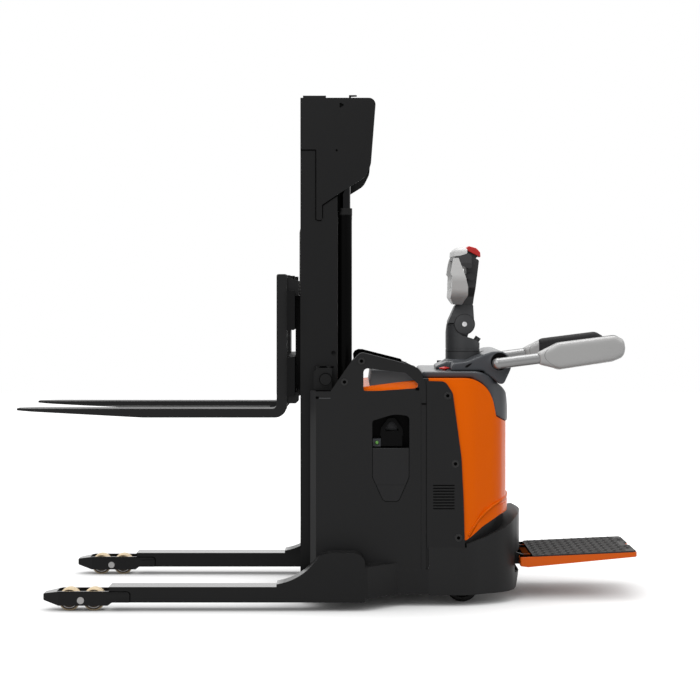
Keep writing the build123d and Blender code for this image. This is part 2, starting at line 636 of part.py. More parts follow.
def make_carriage():
    """Two fork bars, side plates into the mast, roller axles and chain lugs."""
    frame = None
    for z0 in (BAR_LOW, BAR_TOP - BAR_H):
        bar = side_prism([(BAR_X0, z0, 0), (BAR_X0, z0 + BAR_H, 0), (BAR_X1, z0 + BAR_H, 5), (BAR_X1, z0, 5)],
                         -BAR_HALF, BAR_HALF)
        frame = bar if frame is None else frame + bar
    low = BAR_LOW + 23
    high = BAR_TOP - 19
    plate = side_prism([(BAR_X1, low, 0), (BAR_X1, high, 0), (ROLLER_X - 10, high, 24),
                        (ROLLER_X + 34, high - 46, 30),
                        (ROLLER_X + 34, low + 46, 30), (ROLLER_X - 10, low, 24)], -ARM_PLATE_Y,
                        -ARM_PLATE_Y + ARM_PLATE_T)
    plate -= side_prism([(BAR_X1 + 34, low + 110, 16), (BAR_X1 + 34, high - 110, 16),
                         (ROLLER_X + 8, high - 110, 16),
                         (ROLLER_X + 8, low + 110, 16)], -ARM_PLATE_Y - 1, -ARM_PLATE_Y + ARM_PLATE_T + 1)
    web_out = -INNER_Y + BEAM_WEB + 8
    for z in CARRIAGE_ROLLER_Z:
        plate += rod_y(ROLLER_X, z, CARRIAGE_AXLE_D, web_out, -ARM_PLATE_Y + 1)
    frame += plate + twin(plate)
    lug_top = BAR_TOP - BAR_H
    spine = block(BAR_X1, BAR_X1 + PLATE, -SHEAVE_Y - 20, SHEAVE_Y + 20, BAR_LOW + 20, BAR_TOP - 30)
    spine -= side_prism([(BAR_X1 - 1, BAR_LOW + BAR_H + 4, 0), (BAR_X1 + PLATE + 1, BAR_LOW + BAR_H + 4, 0),
                         (BAR_X1 + PLATE + 1, lug_top - 42, 0), (BAR_X1 - 1, lug_top - 42, 0)],
                         -SHEAVE_Y + 24, SHEAVE_Y - 24)
    frame += spine
    for way in (-1, 1):
        y = way * SHEAVE_Y
        frame += block(BAR_X1, FREE_CYL_X - SHEAVE_D / 2 + 3, y - 12, y + 12, lug_top - 34, lug_top)
    return frame


def make_carriage_rollers(z):
    """Left and right guide rollers on one axle line."""
    y1 = ARM_PLATE_Y + 6
    bore = CARRIAGE_AXLE_D / 2 + RUN_FIT
    r = CARRIAGE_ROLLER_D / 2
    w = CARRIAGE_ROLLER_W
    profile = [(bore, 0, 0), (r - 3, 0, 0), (r, 3, 0), (r, w - 3, 0), (r - 3, w, 0), (r * 0.7, w, 0),
               (r * 0.66, w - 3, 0), (bore, w - 3, 0)]
    wheel = Pos(ROLLER_X, -y1, z) * Rot(90, 0, 0) * revolve(outline(Plane.XZ, profile), Axis.Z)
    return group(wheel, twin(wheel))


def make_fork():
    """Hook-on fork: shank, curved heel, tapered blade with a bevelled inner underside, and both hooks."""
    front = BAR_X0 - FORK_T
    y0 = -FORK_CENTRES / 2 - FORK_W / 2
    y1 = y0 + FORK_W
    low = FORK_TOP - FORK_BLADE_T
    side = [
        (BAR_X0, FORK_SHANK_TOP, 8), (front, FORK_SHANK_TOP, 8), (front, FORK_TOP, 18),
        (FORK_TIP, FORK_TOP, 2),
        (FORK_TIP, FORK_TOP - FORK_TIP_T, 2), (FORK_TIP + FORK_TAPER_L, low, 200), (BAR_X0, low, FORK_HEEL_R),
    ]
    fork = side_prism(side, y0, y1)
    tip = FORK_W * 0.28
    for a, b in ((y0, 1), (y1, -1)):
        corner = [(FORK_TIP - 1, a - b, 0), (FORK_TIP + 2.6 * tip, a - b, 0),
                  (FORK_TIP + 1.3 * tip, a + b * tip * 0.32, 90),
                  (FORK_TIP - 1, a + b * tip, 0)]
        fork -= plan_prism(corner if b > 0 else list(reversed(corner)), low - 1, FORK_TOP + 1)
    bevel = [(y1 + 1, low - 1, 0), (y1 + 1, low + FORK_BEVEL, 0), (y1 - 2.2 * FORK_BEVEL, low - 1, 0)]
    fork -= front_prism(bevel, FORK_TIP - 1, front - FORK_HEEL_R)
    h0 = -FORK_CENTRES / 2 - HOOK_W / 2
    h1 = h0 + HOOK_W
    lip = BAR_X1 + SEAT_GAP
    fork += side_prism([(BAR_X0 - 2, BAR_TOP, 0), (lip, BAR_TOP, 2), (lip, BAR_TOP - 18, 2),
                        (lip + 13, BAR_TOP - 18, 4),
                        (lip + 13, BAR_TOP + 34, 10), (BAR_X0 + 8, BAR_TOP + 52, 8),
                        (BAR_X0 - 2, BAR_TOP + 52, 0)], h0, h1)
    fork += rod_z((BAR_X0 + BAR_X1) / 2 + 4, (h0 + h1) / 2, 20, BAR_TOP + 30, BAR_TOP + 58)
    fork += side_prism([(BAR_X0 - 2, BAR_LOW, 0), (BAR_X0 - 2, BAR_LOW - 30, 0), (lip + 2, BAR_LOW - 30, 6),
                        (lip + 13, BAR_LOW - 20, 4), (lip + 13, BAR_LOW + 12, 3), (lip, BAR_LOW + 12, 2),
                        (lip, BAR_LOW, 2)], h0, h1)
    return fork


# Side doors

def pocket_outline(grow):
    """Rim of the connector pocket, grown outwards by a wall."""
    x0 = POCKET_X0 - grow
    x1 = POCKET_X1 + grow
    z0 = POCKET_Z0 - grow
    z1 = POCKET_Z1 + grow
    waist = POCKET_Z0 + 92
    return [(x0, waist, 20), (x0, z1 - 24, 10), ((x0 + x1) / 2 + 14, z1 + 2, 110), (x1, z1 - 6, 16),
            (x1, waist, 20),
            (x1 - 40, z0, 22), (x0 + 42, z0, 22)]


def door_lip(y_way):
    """Front strip of a door, bent inwards."""
    y0 = y_way * SIDE_Y
    y1 = y_way * (SIDE_Y - DOOR_LIP * 1.35)
    x1 = DOOR_X0 - DOOR_LIP
    t = SHEET
    corners = [(DOOR_X0, y0, 0), (x1, y1, 0), (x1 + t, y1 - y_way * t * 0.2, 0),
               (DOOR_X0 + t * 0.5, y0 - y_way * t, 0)]
    if y_way > 0:
        corners.reverse()
    return plan_prism(corners, DOOR_BOTTOM, DOOR_TOP)


def make_left_door():
    """Battery door with the connector opening and, above it, the bow handle with its window."""
    flat = [(DOOR_X0, DOOR_BOTTOM, 0), (DOOR_X0, DOOR_TOP, 0), (DOOR_REAR, DOOR_TOP, 0),
            (DOOR_REAR, DOOR_BOTTOM, 0)]
    door = side_prism(flat, -SIDE_Y, -SKIN_Y)
    door -= side_prism(pocket_outline(0), -SIDE_Y - 1, -SKIN_Y + 1)
    door += door_lip(-1)
    bow_side = [
        (116, DOOR_TOP - 20, 0), (116, DOOR_TOP - 2, 14), (202, 938, 20), (228, 970, 26), (396, 927, 30),
        (456, 898, 50),
        (DOOR_REAR, 838, 40), (DOOR_REAR, DOOR_TOP - 20, 0),
    ]
    bow = side_prism(bow_side, -SIDE_Y, -SKIN_Y)
    window = [(241, DOOR_TOP - 4, 12), (241, 903, 16), (400, 885, 30), (452, 838, 10),
              (440, DOOR_TOP + 10, 10)]
    bow -= side_prism(window, -SIDE_Y - 1, -SKIN_Y + 1)
    slot = block(DOOR_REAR - 18, DOOR_REAR + 1, -SIDE_Y - 1, -SIDE_Y + 2, DOOR_TOP - 52, DOOR_TOP - 48)
    groove = block(DOOR_REAR - 19, DOOR_REAR - 17, -SIDE_Y - 1, -SIDE_Y + 2, DOOR_BOTTOM - 1, DOOR_TOP - 30)
    return door + bow - slot - groove


def make_right_door():
    """Plain battery door on the operator's right."""
    flat = [(DOOR_X0, DOOR_BOTTOM, 0), (DOOR_X0, DOOR_TOP, 0), (DOOR_REAR, DOOR_TOP, 12),
            (DOOR_REAR, DOOR_BOTTOM, 0)]
    door = side_prism(flat, SKIN_Y, SIDE_Y) + door_lip(1)
    return door - block(DOOR_REAR - 19, DOOR_REAR - 17, SIDE_Y - 2, SIDE_Y + 1, DOOR_BOTTOM - 1,
                        DOOR_TOP - 30)


def make_pocket():
    """Moulded pocket behind the door opening: deep upper recess, lower bulging scoop."""
    y0 = -SKIN_Y
    y1 = y0 + POCKET_DEPTH
    cup = side_prism(pocket_outline(8), y0, y1)
    recess = side_prism(pocket_outline(0), y0 - 1, y1 - POCKET_WALL)
    recess -= block(POCKET_X0 - 20, POCKET_X1 + 20, y0 - 2, y1, POCKET_Z0 - 20, POCKET_LEDGE)
    cup -= recess
    hollow = side_prism(pocket_outline(-3), y0 + 12, y1 + 1)
    hollow -= block(POCKET_X0 - 20, POCKET_X1 + 20, y0, y1 + 2, POCKET_LEDGE - 8, POCKET_Z1 + 20)
    cup -= hollow
    rim = side_prism(pocket_outline(-0.3), y0 - SHEET + 1, y0 + 1)
    rim -= block(POCKET_X0 - 20, POCKET_X1 + 20, y0 - SHEET - 1, y0 + 2, POCKET_LEDGE, POCKET_Z1 + 20)
    rim = fillet(rim.faces().sort_by(Axis.Y)[0].edges(), POCKET_ROLL)
    seam = POCKET_Z0 + 64
    rim -= block(POCKET_X0 - 20, POCKET_X1 + 20, y0 - SHEET - 1, y0 - SHEET + 2, seam, seam + 1.5)
    return cup + rim


CONNECTOR_X = 348.0


def make_connector():
    """Battery plug with a triangular pull handle."""
    y1 = -SKIN_Y + POCKET_DEPTH - POCKET_WALL - SLIDE_GAP
    y0 = -SKIN_Y + 14
    plug = block(CONNECTOR_X - 40, CONNECTOR_X + 40, y0, y1, POCKET_LEDGE + 6, POCKET_LEDGE + 46)
    ring = [(CONNECTOR_X - 44, POCKET_LEDGE + 46, 0), (CONNECTOR_X - 40, POCKET_LEDGE + 74, 10),
            (CONNECTOR_X - 12, POCKET_LEDGE + 112, 14), (CONNECTOR_X + 12, POCKET_LEDGE + 112, 14),
            (CONNECTOR_X + 40, POCKET_LEDGE + 74, 10), (CONNECTOR_X + 44, POCKET_LEDGE + 46, 0)]
    hole = [(CONNECTOR_X - 30, POCKET_LEDGE + 62, 4), (CONNECTOR_X - 8, POCKET_LEDGE + 98, 8),
            (CONNECTOR_X + 8, POCKET_LEDGE + 98, 8), (CONNECTOR_X + 30, POCKET_LEDGE + 62, 4)]
    handle = side_prism(ring, y0, y0 + 14) - side_prism(hole, y0 - 1, y0 + 15)
    return plug + handle


def make_panel(way):
    """Vented side panel of the motor room with its swept rear edge."""
    x0 = DOOR_REAR + PANEL_GAP
    rim = [(x0, PANEL_BOTTOM, 0), (x0, PANEL_TOP, 4), (x0 + 70, PANEL_TOP - 2, 30),
           (x0 + 98, PANEL_TOP - 46, 30),
           (x0 + 131, PANEL_TOP - 290, 300), (x0 + 139, PANEL_TOP - 450, 300), (x0 + 144, PANEL_BOTTOM, 0)]
    y0 = min(way * SIDE_Y, way * SKIN_Y)
    panel = side_prism(rim, y0, y0 + SHEET)
    for i in range(VENT_COUNT):
        z = VENT_Z0 + i * VENT_PITCH
        panel -= side_prism([(VENT_X0, z, 2.4), (VENT_X0 + VENT_W, z, 2.4),
                             (VENT_X0 + VENT_W, z + VENT_H, 2.4),
                             (VENT_X0, z + VENT_H, 2.4)], y0 - 1, y0 + SHEET + 1)
    return panel


PANEL_SCREWS = [(83.0, 56.0), (112.0, 314.0), (124.0, 594.0)]   # behind the panel front and below its top


def make_screws():
    """Quarter-turn panel screws on both sides and the two bolts of the bow handle."""
    heads = []
    for dx, dz in PANEL_SCREWS:
        x = DOOR_REAR + PANEL_GAP + dx - 4
        z = PANEL_TOP - dz
        head = rod_y(x, z, SCREW_D, -SIDE_Y - SCREW_H, -SIDE_Y)
        head -= block(x - SCREW_D * 0.34, x + SCREW_D * 0.34, -SIDE_Y - SCREW_H - 1, -SIDE_Y - SCREW_H + 1.2,
                      z - 1.5, z + 1.5)
        heads.extend([head, twin(head)])
    for x, z in ((233.5, 929), (169, 850)):
        head = rod_y(x, z, BOW_BOLT_D, -SIDE_Y - SCREW_H, -SIDE_Y)
        head -= Pos(x, -SIDE_Y - SCREW_H, z) * Rot(90, 0, 0) * extrude(RegularPolygon(6, 6), 1.6, both=True)
        heads.append(head)
    return group(*heads)


# Covers of the motor room

HOOD_LOW = 250.0
COLLAR_IN = 12.0        # the skirt's inner collar stands inside the hood's lower edge
COLLAR_LAP = 10.0


def hood_side(front, drop):
    """Side view of the hood; front edge and lower edge can be moved out for the inner form."""
    low = HOOD_LOW - drop
    return [(front, low, 0), (632, low, 10), (694, low + 48, 70), (766, low + 88, 70),
            (HOOD_REAR + 6, low + 96, 0), (HOOD_REAR + 6, HOOD_LEDGE, 0),
            (HOOD_REAR - LEDGE_RUN, HOOD_LEDGE + LEDGE_RISE, 10), (HOOD_REAR - 71, HOOD_TOP - 86, 120),
            (HOOD_REAR - 109, HOOD_TOP, 110), (front, HOOD_TOP, 0)]


def hood_plan(front):
    """Plan view of the hood with its rounded rear corners."""
    y = HOOD_W / 2
    return [(front, -y, 0), (640, -y, 130), (HOOD_REAR - 45, -y + 92, 140), (HOOD_REAR - 15, -190, 220),
            (HOOD_REAR + 3, 0, 700), (HOOD_REAR - 15, 190, 220), (HOOD_REAR - 45, y - 92, 140), (640, y, 130),
            (front, y, 0)]


def hood_form(front, drop, inset):
    """Solid form of the hood, drawn in by an even inset."""
    side = outline(side_plane(500), hood_side(front, drop))
    plan = outline(Plane.XY, hood_plan(front))
    if inset > 0:
        side = offset(side, -inset)
        plan = offset(plan, -inset)
    return extrude(side, 1000, (0, -1, 0)) & extrude(plan, 1200, (0, 0, 1))


def hood_lip(proud, lower):
    """Band along the hood's lower edge that stands out from it, its upper edge moved down by a given step."""
    low = HOOD_LOW
    crest = HOOD_LOW + 134 - lower
    side = [(644, low + 9, 0), (694, low + 48, 70), (766, low + 88, 70), (HOOD_REAR + 12, low + 96, 0),
            (HOOD_REAR + 12, crest, 0), (HOOD_REAR - 60, crest, 60), (704, crest - 16, 40)]
    plan = offset(outline(Plane.XY, hood_plan(BULK_X1)), proud)
    return side_prism(side, -HOOD_W, HOOD_W) & extrude(plan, 1200, (0, 0, 1))


def make_hood():
    """Moulded hood over drive motor and pump with a rolled lip, open in front and below."""
    shell = hood_form(BULK_X1, 0, 0) + hood_lip(HOOD_LIP / 2, 0) + hood_lip(HOOD_LIP, HOOD_LIP * 2)
    return shell - hood_form(BULK_X1 - 60, 60, MOULD)


def skirt_side(front, drop):
    """Side view of the skirt with its rising rim."""
    low = SKIRT_BOTTOM - drop
    return [(front, low, 0), (SKIRT_REAR - 34, low, 14), (SKIRT_REAR - 20, 96, 20), (SKIRT_REAR + 6, 140, 30),
            (SKIRT_REAR + 6, 330, 0), (846, 330, 14), (786, 290, 90), (706, 258, 120),
            (632, 236, 0), (632, PANEL_BOTTOM, 0), (front, PANEL_BOTTOM, 0)]


def skirt_plan(front):
    """Plan view of the skirt with its rounded rear corners and bowed rear."""
    return [(front, -SIDE_Y, 0), (640, -SIDE_Y, 160), (SKIRT_REAR - 66, -SIDE_Y + 85, 170),
            (SKIRT_REAR - 22, -190, 220), (SKIRT_REAR + 3, 0, 700), (SKIRT_REAR - 22, 190, 220),
            (SKIRT_REAR - 66, SIDE_Y - 85, 170), (640, SIDE_Y, 160), (front, SIDE_Y, 0)]


def skirt_form(front, drop, inset):
    """Solid form of the skirt, drawn in by an even inset."""
    side = outline(side_plane(500), skirt_side(front, drop))
    plan = outline(Plane.XY, skirt_plan(front))
    if inset > 0:
        side = offset(side, -inset)
        plan = offset(plan, -inset)
    return extrude(side, 1000, (0, -1, 0)) & extrude(plan, 1200, (0, 0, 1))


def make_skirt():
    """Deep rear skirt round castors and drive wheel, open below and above, slotted for the platform lugs."""
    shell = skirt_form(BULK_X1, 0, 0) - skirt_form(BULK_X1 - 60, 60, MOULD)
    low = HOOD_LOW + COLLAR_LAP
    rear = HOOD_REAR - COLLAR_IN - MOULD
    collar_side = [(BULK_X1, PANEL_BOTTOM - 20, 0), (rear, PANEL_BOTTOM - 20, 0), (rear, low + 98, 0),
                   (752, low + 86, 60), (694, low + 48, 70), (632, low, 10), (BULK_X1, low, 0)]
    plan = outline(Plane.XY.offset(PANEL_BOTTOM - 30), hood_plan(BULK_X1))
    collar = extrude(offset(plan, -COLLAR_IN), 300, (0, 0, 1)) & side_prism(collar_side, -SIDE_Y, SIDE_Y)
    plan_in = outline(Plane.XY.offset(60), hood_plan(BULK_X1 - 60))
    shell += collar - block(0, 1000, -SIDE_Y, SIDE_Y, 0, PANEL_BOTTOM - 10)
    well = extrude(offset(plan_in, -COLLAR_IN - MOULD), 400, (0, 0, 1))
    shell -= well & block(0, rear - MOULD, -SIDE_Y, SIDE_Y, 0, 1000)
    slot = block(SKIRT_REAR - 40, SKIRT_REAR + 20, -SKIRT_SLOT_W / 2, SKIRT_SLOT_W / 2, PLAT_AXIS_Z - 46,
                 PLAT_AXIS_Z + 34)
    return shell - slot


def console_side():
    """Side view of the top console, which rolls over the hood's rear edge."""
    x0 = BULK_X0 + 5
    return [(x0, BULK_TOP, 0), (x0, CONSOLE_TOP, 8), (CONSOLE_REAR - 116, CONSOLE_TOP, 110),
            (CONSOLE_REAR - 17, CONSOLE_TOP - 80, 90), (CONSOLE_REAR, CONSOLE_TOP - 166, 30),
            (HOOD_REAR + 4, HOOD_LEDGE + 4, 3), (HOOD_REAR - LEDGE_RUN - 4, HOOD_LEDGE + LEDGE_RISE - 2, 0),
            (HOOD_REAR - 150, HOOD_TOP - 60, 0), (HOOD_REAR - 150, BULK_TOP, 0)]


def make_console():
    """Grey top console lying on bulkhead and hood."""
    half = CONSOLE_W / 2
    rear = CONSOLE_REAR + 5
    plan = [(BULK_X0 + 5, -half, 20), (706, -half, 130), (rear - 26, -half + 124, 130), (rear - 3, 0, 400),
            (rear - 26, half - 124, 130), (706, half, 130), (BULK_X0 + 5, half, 20)]
    shape = side_prism(console_side(), -half, half) & plan_prism(plan, 0, 1200)
    under = extrude(offset(outline(side_plane(500), hood_side(BULK_X1 - 100, 0)), SEAT_GAP), 1000, (0, -1, 0))
    under &= block(BULK_X1, 1000, -500, 500, 0, 1200)
    shape -= under
    shape -= rod_z(STOP_X, STOP_Y, STOP_STEM_D + 2 * SLIDE_GAP, CONSOLE_TOP - 16, CONSOLE_TOP + 1)
    shape -= rod_z(KEY_X, KEY_Y, KEY_D + 2 * RUN_FIT, CONSOLE_TOP - 14, CONSOLE_TOP + 1)
    return shape


STOP_X = 557.0
STOP_Y = -190.0
STOP_D = 40.0
STOP_STEM_D = 18.0
STOP_TRAVEL = 5.0
KEY_X = 557.0
KEY_Y = 190.0
KEY_D = 24.0


def make_stop():
    """Mushroom button of the emergency stop."""
    z = CONSOLE_TOP + STOP_TRAVEL + SLIDE_GAP
    head = Pos(0, 0,
               z) * revolve(outline(Plane.XZ, [(0, 0, 0), (STOP_D / 2, 0, 1), (STOP_D / 2, 5, 3), (0, 9, 0)]),
                            Axis.Z)
    return Pos(STOP_X, STOP_Y, 0) * head + rod_z(STOP_X, STOP_Y, STOP_STEM_D, CONSOLE_TOP - 8, z + 1)


def make_key():
    """Turning key knob in its console bore."""
    knob = rod_z(KEY_X, KEY_Y, KEY_D, CONSOLE_TOP - 12, CONSOLE_TOP + 6)
    knob += block(KEY_X - 11, KEY_X + 11, KEY_Y - 2.5, KEY_Y + 2.5, CONSOLE_TOP + 5, CONSOLE_TOP + 24)
    return knob


def make_saddle():
    """Grey saddle under the tiller: turret seat and cross shoulders with the arm bores."""
    core = side_prism([(527, CONSOLE_TOP, 0), (527, CONSOLE_TOP + 12, 8), (575, TURRET_Z0, 30),
                       (720, TURRET_Z0, 20),
                       (SHOULDER_X - 6, CONSOLE_TOP + 20, 0), (SHOULDER_X - 6, CONSOLE_TOP, 0)], -112, 112)
    shoulder = side_prism([
        (578, CONSOLE_TOP, 0), (586, 916, 14), (642, 923, 80), (700, 948, 60), (SHOULDER_X - 14, 963, 40),
        (SHOULDER_X + 20, 963, 30), (SHOULDER_X + 54, 940, 26), (SHOULDER_X + 54, 896, 40),
        (SHOULDER_X + 26, 836, 8), (SHOULDER_X - 40, 836, 0), (SHOULDER_X - 50, CONSOLE_TOP, 0),
    ], -SHOULDER_HALF, SHOULDER_HALF)
    waist = rod_z(STEER_X, 0, TURRET_D + 24, TURRET_Z0, 1100)
    shape = core + (shoulder - waist)
    bar = side_prism(console_side(), -600, 600)
    shape -= bar
    under = extrude(offset(outline(side_plane(500), hood_side(BULK_X1 - 100, 0)), SEAT_GAP), 1000, (0, -1, 0))
    shape -= under
    shape -= rod_z(STEER_X, 0, TURRET_D / 2 + 2 * RUN_FIT, CONSOLE_TOP + 5, TURRET_Z0 + 1)
    for way in (-1, 1):
        a = way * (SHOULDER_HALF - STUB_L - 2)
        b = way * (SHOULDER_HALF + BOSS_L)
        face = way * (SHOULDER_HALF - 1)
        shape += rod_y(SHOULDER_X, SHOULDER_Z, BOSS_D, min(face, b), max(face, b))
        b += way
        shape -= rod_y(SHOULDER_X, SHOULDER_Z, STUB_D + 2 * RUN_FIT, min(a, b), max(a, b))
    return shape


# Battery and hydraulics

BATTERY_X0 = BULK_X0 - BATTERY_L - 8.0


def make_battery():
    """Traction battery case on the floor, with a lifting rim and two eyes."""
    z0 = SILL_BOTTOM + FLOOR_T
    x1 = BATTERY_X0 + BATTERY_L
    case = block(BATTERY_X0, x1, -BATTERY_W / 2, BATTERY_W / 2, z0, z0 + BATTERY_H)
    case -= block(BATTERY_X0 + 5, x1 - 5, -BATTERY_W / 2 + 5, BATTERY_W / 2 - 5, z0 + BATTERY_H - 40,
                  z0 + BATTERY_H + 1)
    step = BATTERY_W / 6
    for i in range(6):
        for x in (BATTERY_X0 + BATTERY_L * 0.28, BATTERY_X0 + BATTERY_L * 0.72):
            case += rod_z(x, -BATTERY_W / 2 + step * (i + 0.5), 46, z0 + BATTERY_H - 41, z0 + BATTERY_H - 18)
    return case


def cover_slope(x):
    """Height of the sloping top of the battery cover at a place along the truck."""
    return COVER_FRONT_Z + (x - COVER_X0) * (BULK_TOP - 4 - COVER_FRONT_Z) / (BULK_X0 - COVER_X0)


def make_battery_cover():
    """Moulded cover over the battery, sloping down to the mast, with rounded side edges."""
    half = COVER_W / 2
    z0 = DOOR_TOP - 14
    rim = [(COVER_X0, z0, 0), (COVER_X0, COVER_FRONT_Z, 12), (BULK_X0, cover_slope(BULK_X0), 0),
           (BULK_X0, z0, 0)]
    shape = side_prism(rim, -half, half)
    across = [(-half, z0 - 1, 0), (-half, COVER_FRONT_Z - 10, 30), (-half + 44, BULK_TOP + 4, 40),
              (half - 44, BULK_TOP + 4, 40), (half, COVER_FRONT_Z - 10, 30), (half, z0 - 1, 0)]
    shape &= front_prism(across, COVER_X0 - 1, BULK_X0 + 1)
    x0 = COVER_X0 + MOULD
    x1 = BULK_X0 - MOULD
    hollow = [(x0, z0 - 1, 0), (x0, COVER_FRONT_Z - MOULD - 4, 8), (x1, cover_slope(x1) - MOULD - 1, 0),
              (x1, z0 - 1, 0)]
    return shape - side_prism(hollow, -half + 40, half - 40)


def make_battery_lid():
    """Grey lid lying on the sloping battery cover, with a raked front end."""
    half = BATTERY_LID_W / 2
    x0 = BULK_X0 - BATTERY_LID_L
    side = [(x0, cover_slope(x0), 0), (x0 + 8, BATTERY_LID_TOP, 10), (BULK_X0 - 60, BATTERY_LID_TOP, 60),
            (BULK_X0, BATTERY_LID_TOP - 14, 4), (BULK_X0, cover_slope(BULK_X0), 0)]
    shape = side_prism(side, -half, half)
    across = [(-half, DOOR_TOP, 0), (-half + 6, BATTERY_LID_TOP + 3, 16), (half - 6, BATTERY_LID_TOP + 3, 16),
              (half, DOOR_TOP, 0)]
    return shape & front_prism(across, x0 - 1, BULK_X0 + 1)


def make_hydraulics():
    """Hydraulic tank on the deck with its pump motor and valve block."""
    x0 = BULK_X1
    keep = TURNTABLE_D / 2 + 30
    tank = side_prism([(x0, DECK_TOP, 0), (x0, 640, 0), (x0 + 64, 640, 12), (x0 + 64, DECK_TOP, 0)], keep,
                      320)
    tank += rod_z(x0 + 30, keep + 60, 40, 640, 660)
    pump = rod_y(x0 + 42, DECK_TOP + 52, 84, -320, -keep - 30)
    pump += block(x0, x0 + 70, -keep - 31, -keep, DECK_TOP, DECK_TOP + 110)
    pump += block(x0 + 4, x0 + 80, -300, -keep - 50, DECK_TOP, DECK_TOP + 20)
    return group(tank, pump)


# Tiller

def make_turret():
    """Round turret with its seat stub, a rising front wall, the tongue of the tilt joint and the tilt pin."""
    z0 = TURRET_Z0 + SLIDE_GAP
    wall_top = TILT_Z + 3.5
    back = STEER_X + TURRET_D / 2 + 4
    profile = [(STEER_X - TURRET_D / 2 - 6, z0, 0), (STEER_X - TURRET_D / 2 - 4, TURRET_Z1 + 15, 30),
               (TILT_X - 67, wall_top, 4), (TILT_X - 38, wall_top, 0), (TILT_X - 14, TILT_Z - TILT_R - 2, 20),
               (STEER_X + 41, TURRET_Z1 + 19, 12), (back, TURRET_Z1, 3), (back, z0, 0)]
    body = side_prism(profile, -TURRET_D, TURRET_D) & rod_z(STEER_X, 0, TURRET_D, z0, TILT_Z)
    body -= rod_y(TILT_X, TILT_Z, 2 * TILT_R + 3, -TURRET_D, TURRET_D)
    seam = TURRET_Z1 - 22
    body -= rod_z(STEER_X, 0, TURRET_D + 2, seam, seam + 3) - rod_z(STEER_X, 0, TURRET_D - 3, seam, seam + 3)
    body += rod_z(STEER_X, 0, TURRET_D / 2, CONSOLE_TOP + 5 + SLIDE_GAP, z0 + 1)
    half = TONGUE_W / 2
    tongue = side_prism([(TILT_X - 60, TURRET_Z1, 0), (TILT_X - 56, TILT_Z - 12, 0),
                         (TILT_X - 16, TILT_Z + 18, 0),
                         (TILT_X + 24, TILT_Z - 16, 0), (TILT_X + 6, TURRET_Z1, 0)], -half, half)
    body += tongue + rod_y(TILT_X, TILT_Z, 2 * TONGUE_R, -half, half)
    knob = Pos(STEER_X + 56, 0, TURRET_Z1 + 14) * Rot(0, KNOB_RAKE, 0) * Cylinder(12, 26)
    body += knob
    reach = ARM_W / 2 + 3
    return body + rod_y(TILT_X, TILT_Z, TILT_PIN_D, -reach, reach)


def make_arm():
    """Forked tiller arm: two pivot discs beside the turret's tongue and a tapered column with a front strip."""
    half = ARM_W / 2
    shape = rod_y(TILT_X, TILT_Z, 2 * TILT_R, -half, half)
    strip = TILT_Z + 5
    column = side_prism([(TILT_X - 66, strip, 3), (TILT_X - 38, NECK_Z - 8, 6), (TILT_X - 30, NECK_Z, 3),
                         (TILT_X + 35, NECK_Z, 4), (TILT_X + 39, TILT_Z, 0), (TILT_X - 20, TILT_Z, 0),
                         (TILT_X - 30, strip, 0)], -half, half)
    taper = front_prism([(-half, TILT_Z - TILT_R - 1, 0), (-half, TILT_Z + 30, 20),
                         (-half + 12, NECK_Z + 1, 0),
                         (half - 12, NECK_Z + 1, 0), (half, TILT_Z + 30, 20), (half, TILT_Z - TILT_R - 1, 0)],
                        TILT_X - 90, TILT_X + 90)
    shape = (shape + column) & taper
    gap = TONGUE_W / 2 + SLIDE_GAP
    slot = rod_y(TILT_X, TILT_Z, 2 * TONGUE_R + 6, -gap, gap)
    slot += block(TILT_X - 90, TILT_X + 90, -gap, gap, TILT_Z - TILT_R - 1, TILT_Z + 3)
    shape -= slot
    return shape - rod_y(TILT_X, TILT_Z, TILT_PIN_D + 2 * RUN_FIT, -half - 1, half + 1)


HEAD_X = 648.0          # front of the control column
HEAD_BACK = 700.0       # its operator side at the top
HORN_Z = 1283.0         # underside of the horns over the grips
HORN_TOP = 1341.0
HORN_END = 8.0          # the horns end this far inside the grips' span
THROTTLE_X = 668.0
THROTTLE_Z = 1250.0
THROTTLE_D = 16.0
THROTTLE_L = 30.0
ROCKER_X = 685.0
ROCKER_Z = 1216.0
ROCKER_W = 40.0
BUTTON_X = 678.0        # middle of the button's lower rim
BUTTON_Z = 1342.0
BUTTON_HALF = 46.0
BUTTON_L = 34.0         # half its length along the slope
BUTTON_TRAVEL = 10.0
BUTTON_STEM_D = 18.0
BUTTON_WALL = 8.0


def button_place():
    """Place and tilt of the belly button, whose own z points away from the head."""
    return Pos(BUTTON_X, 0, BUTTON_Z) * Rot(0, 90 - BUTTON_TILT, 0)


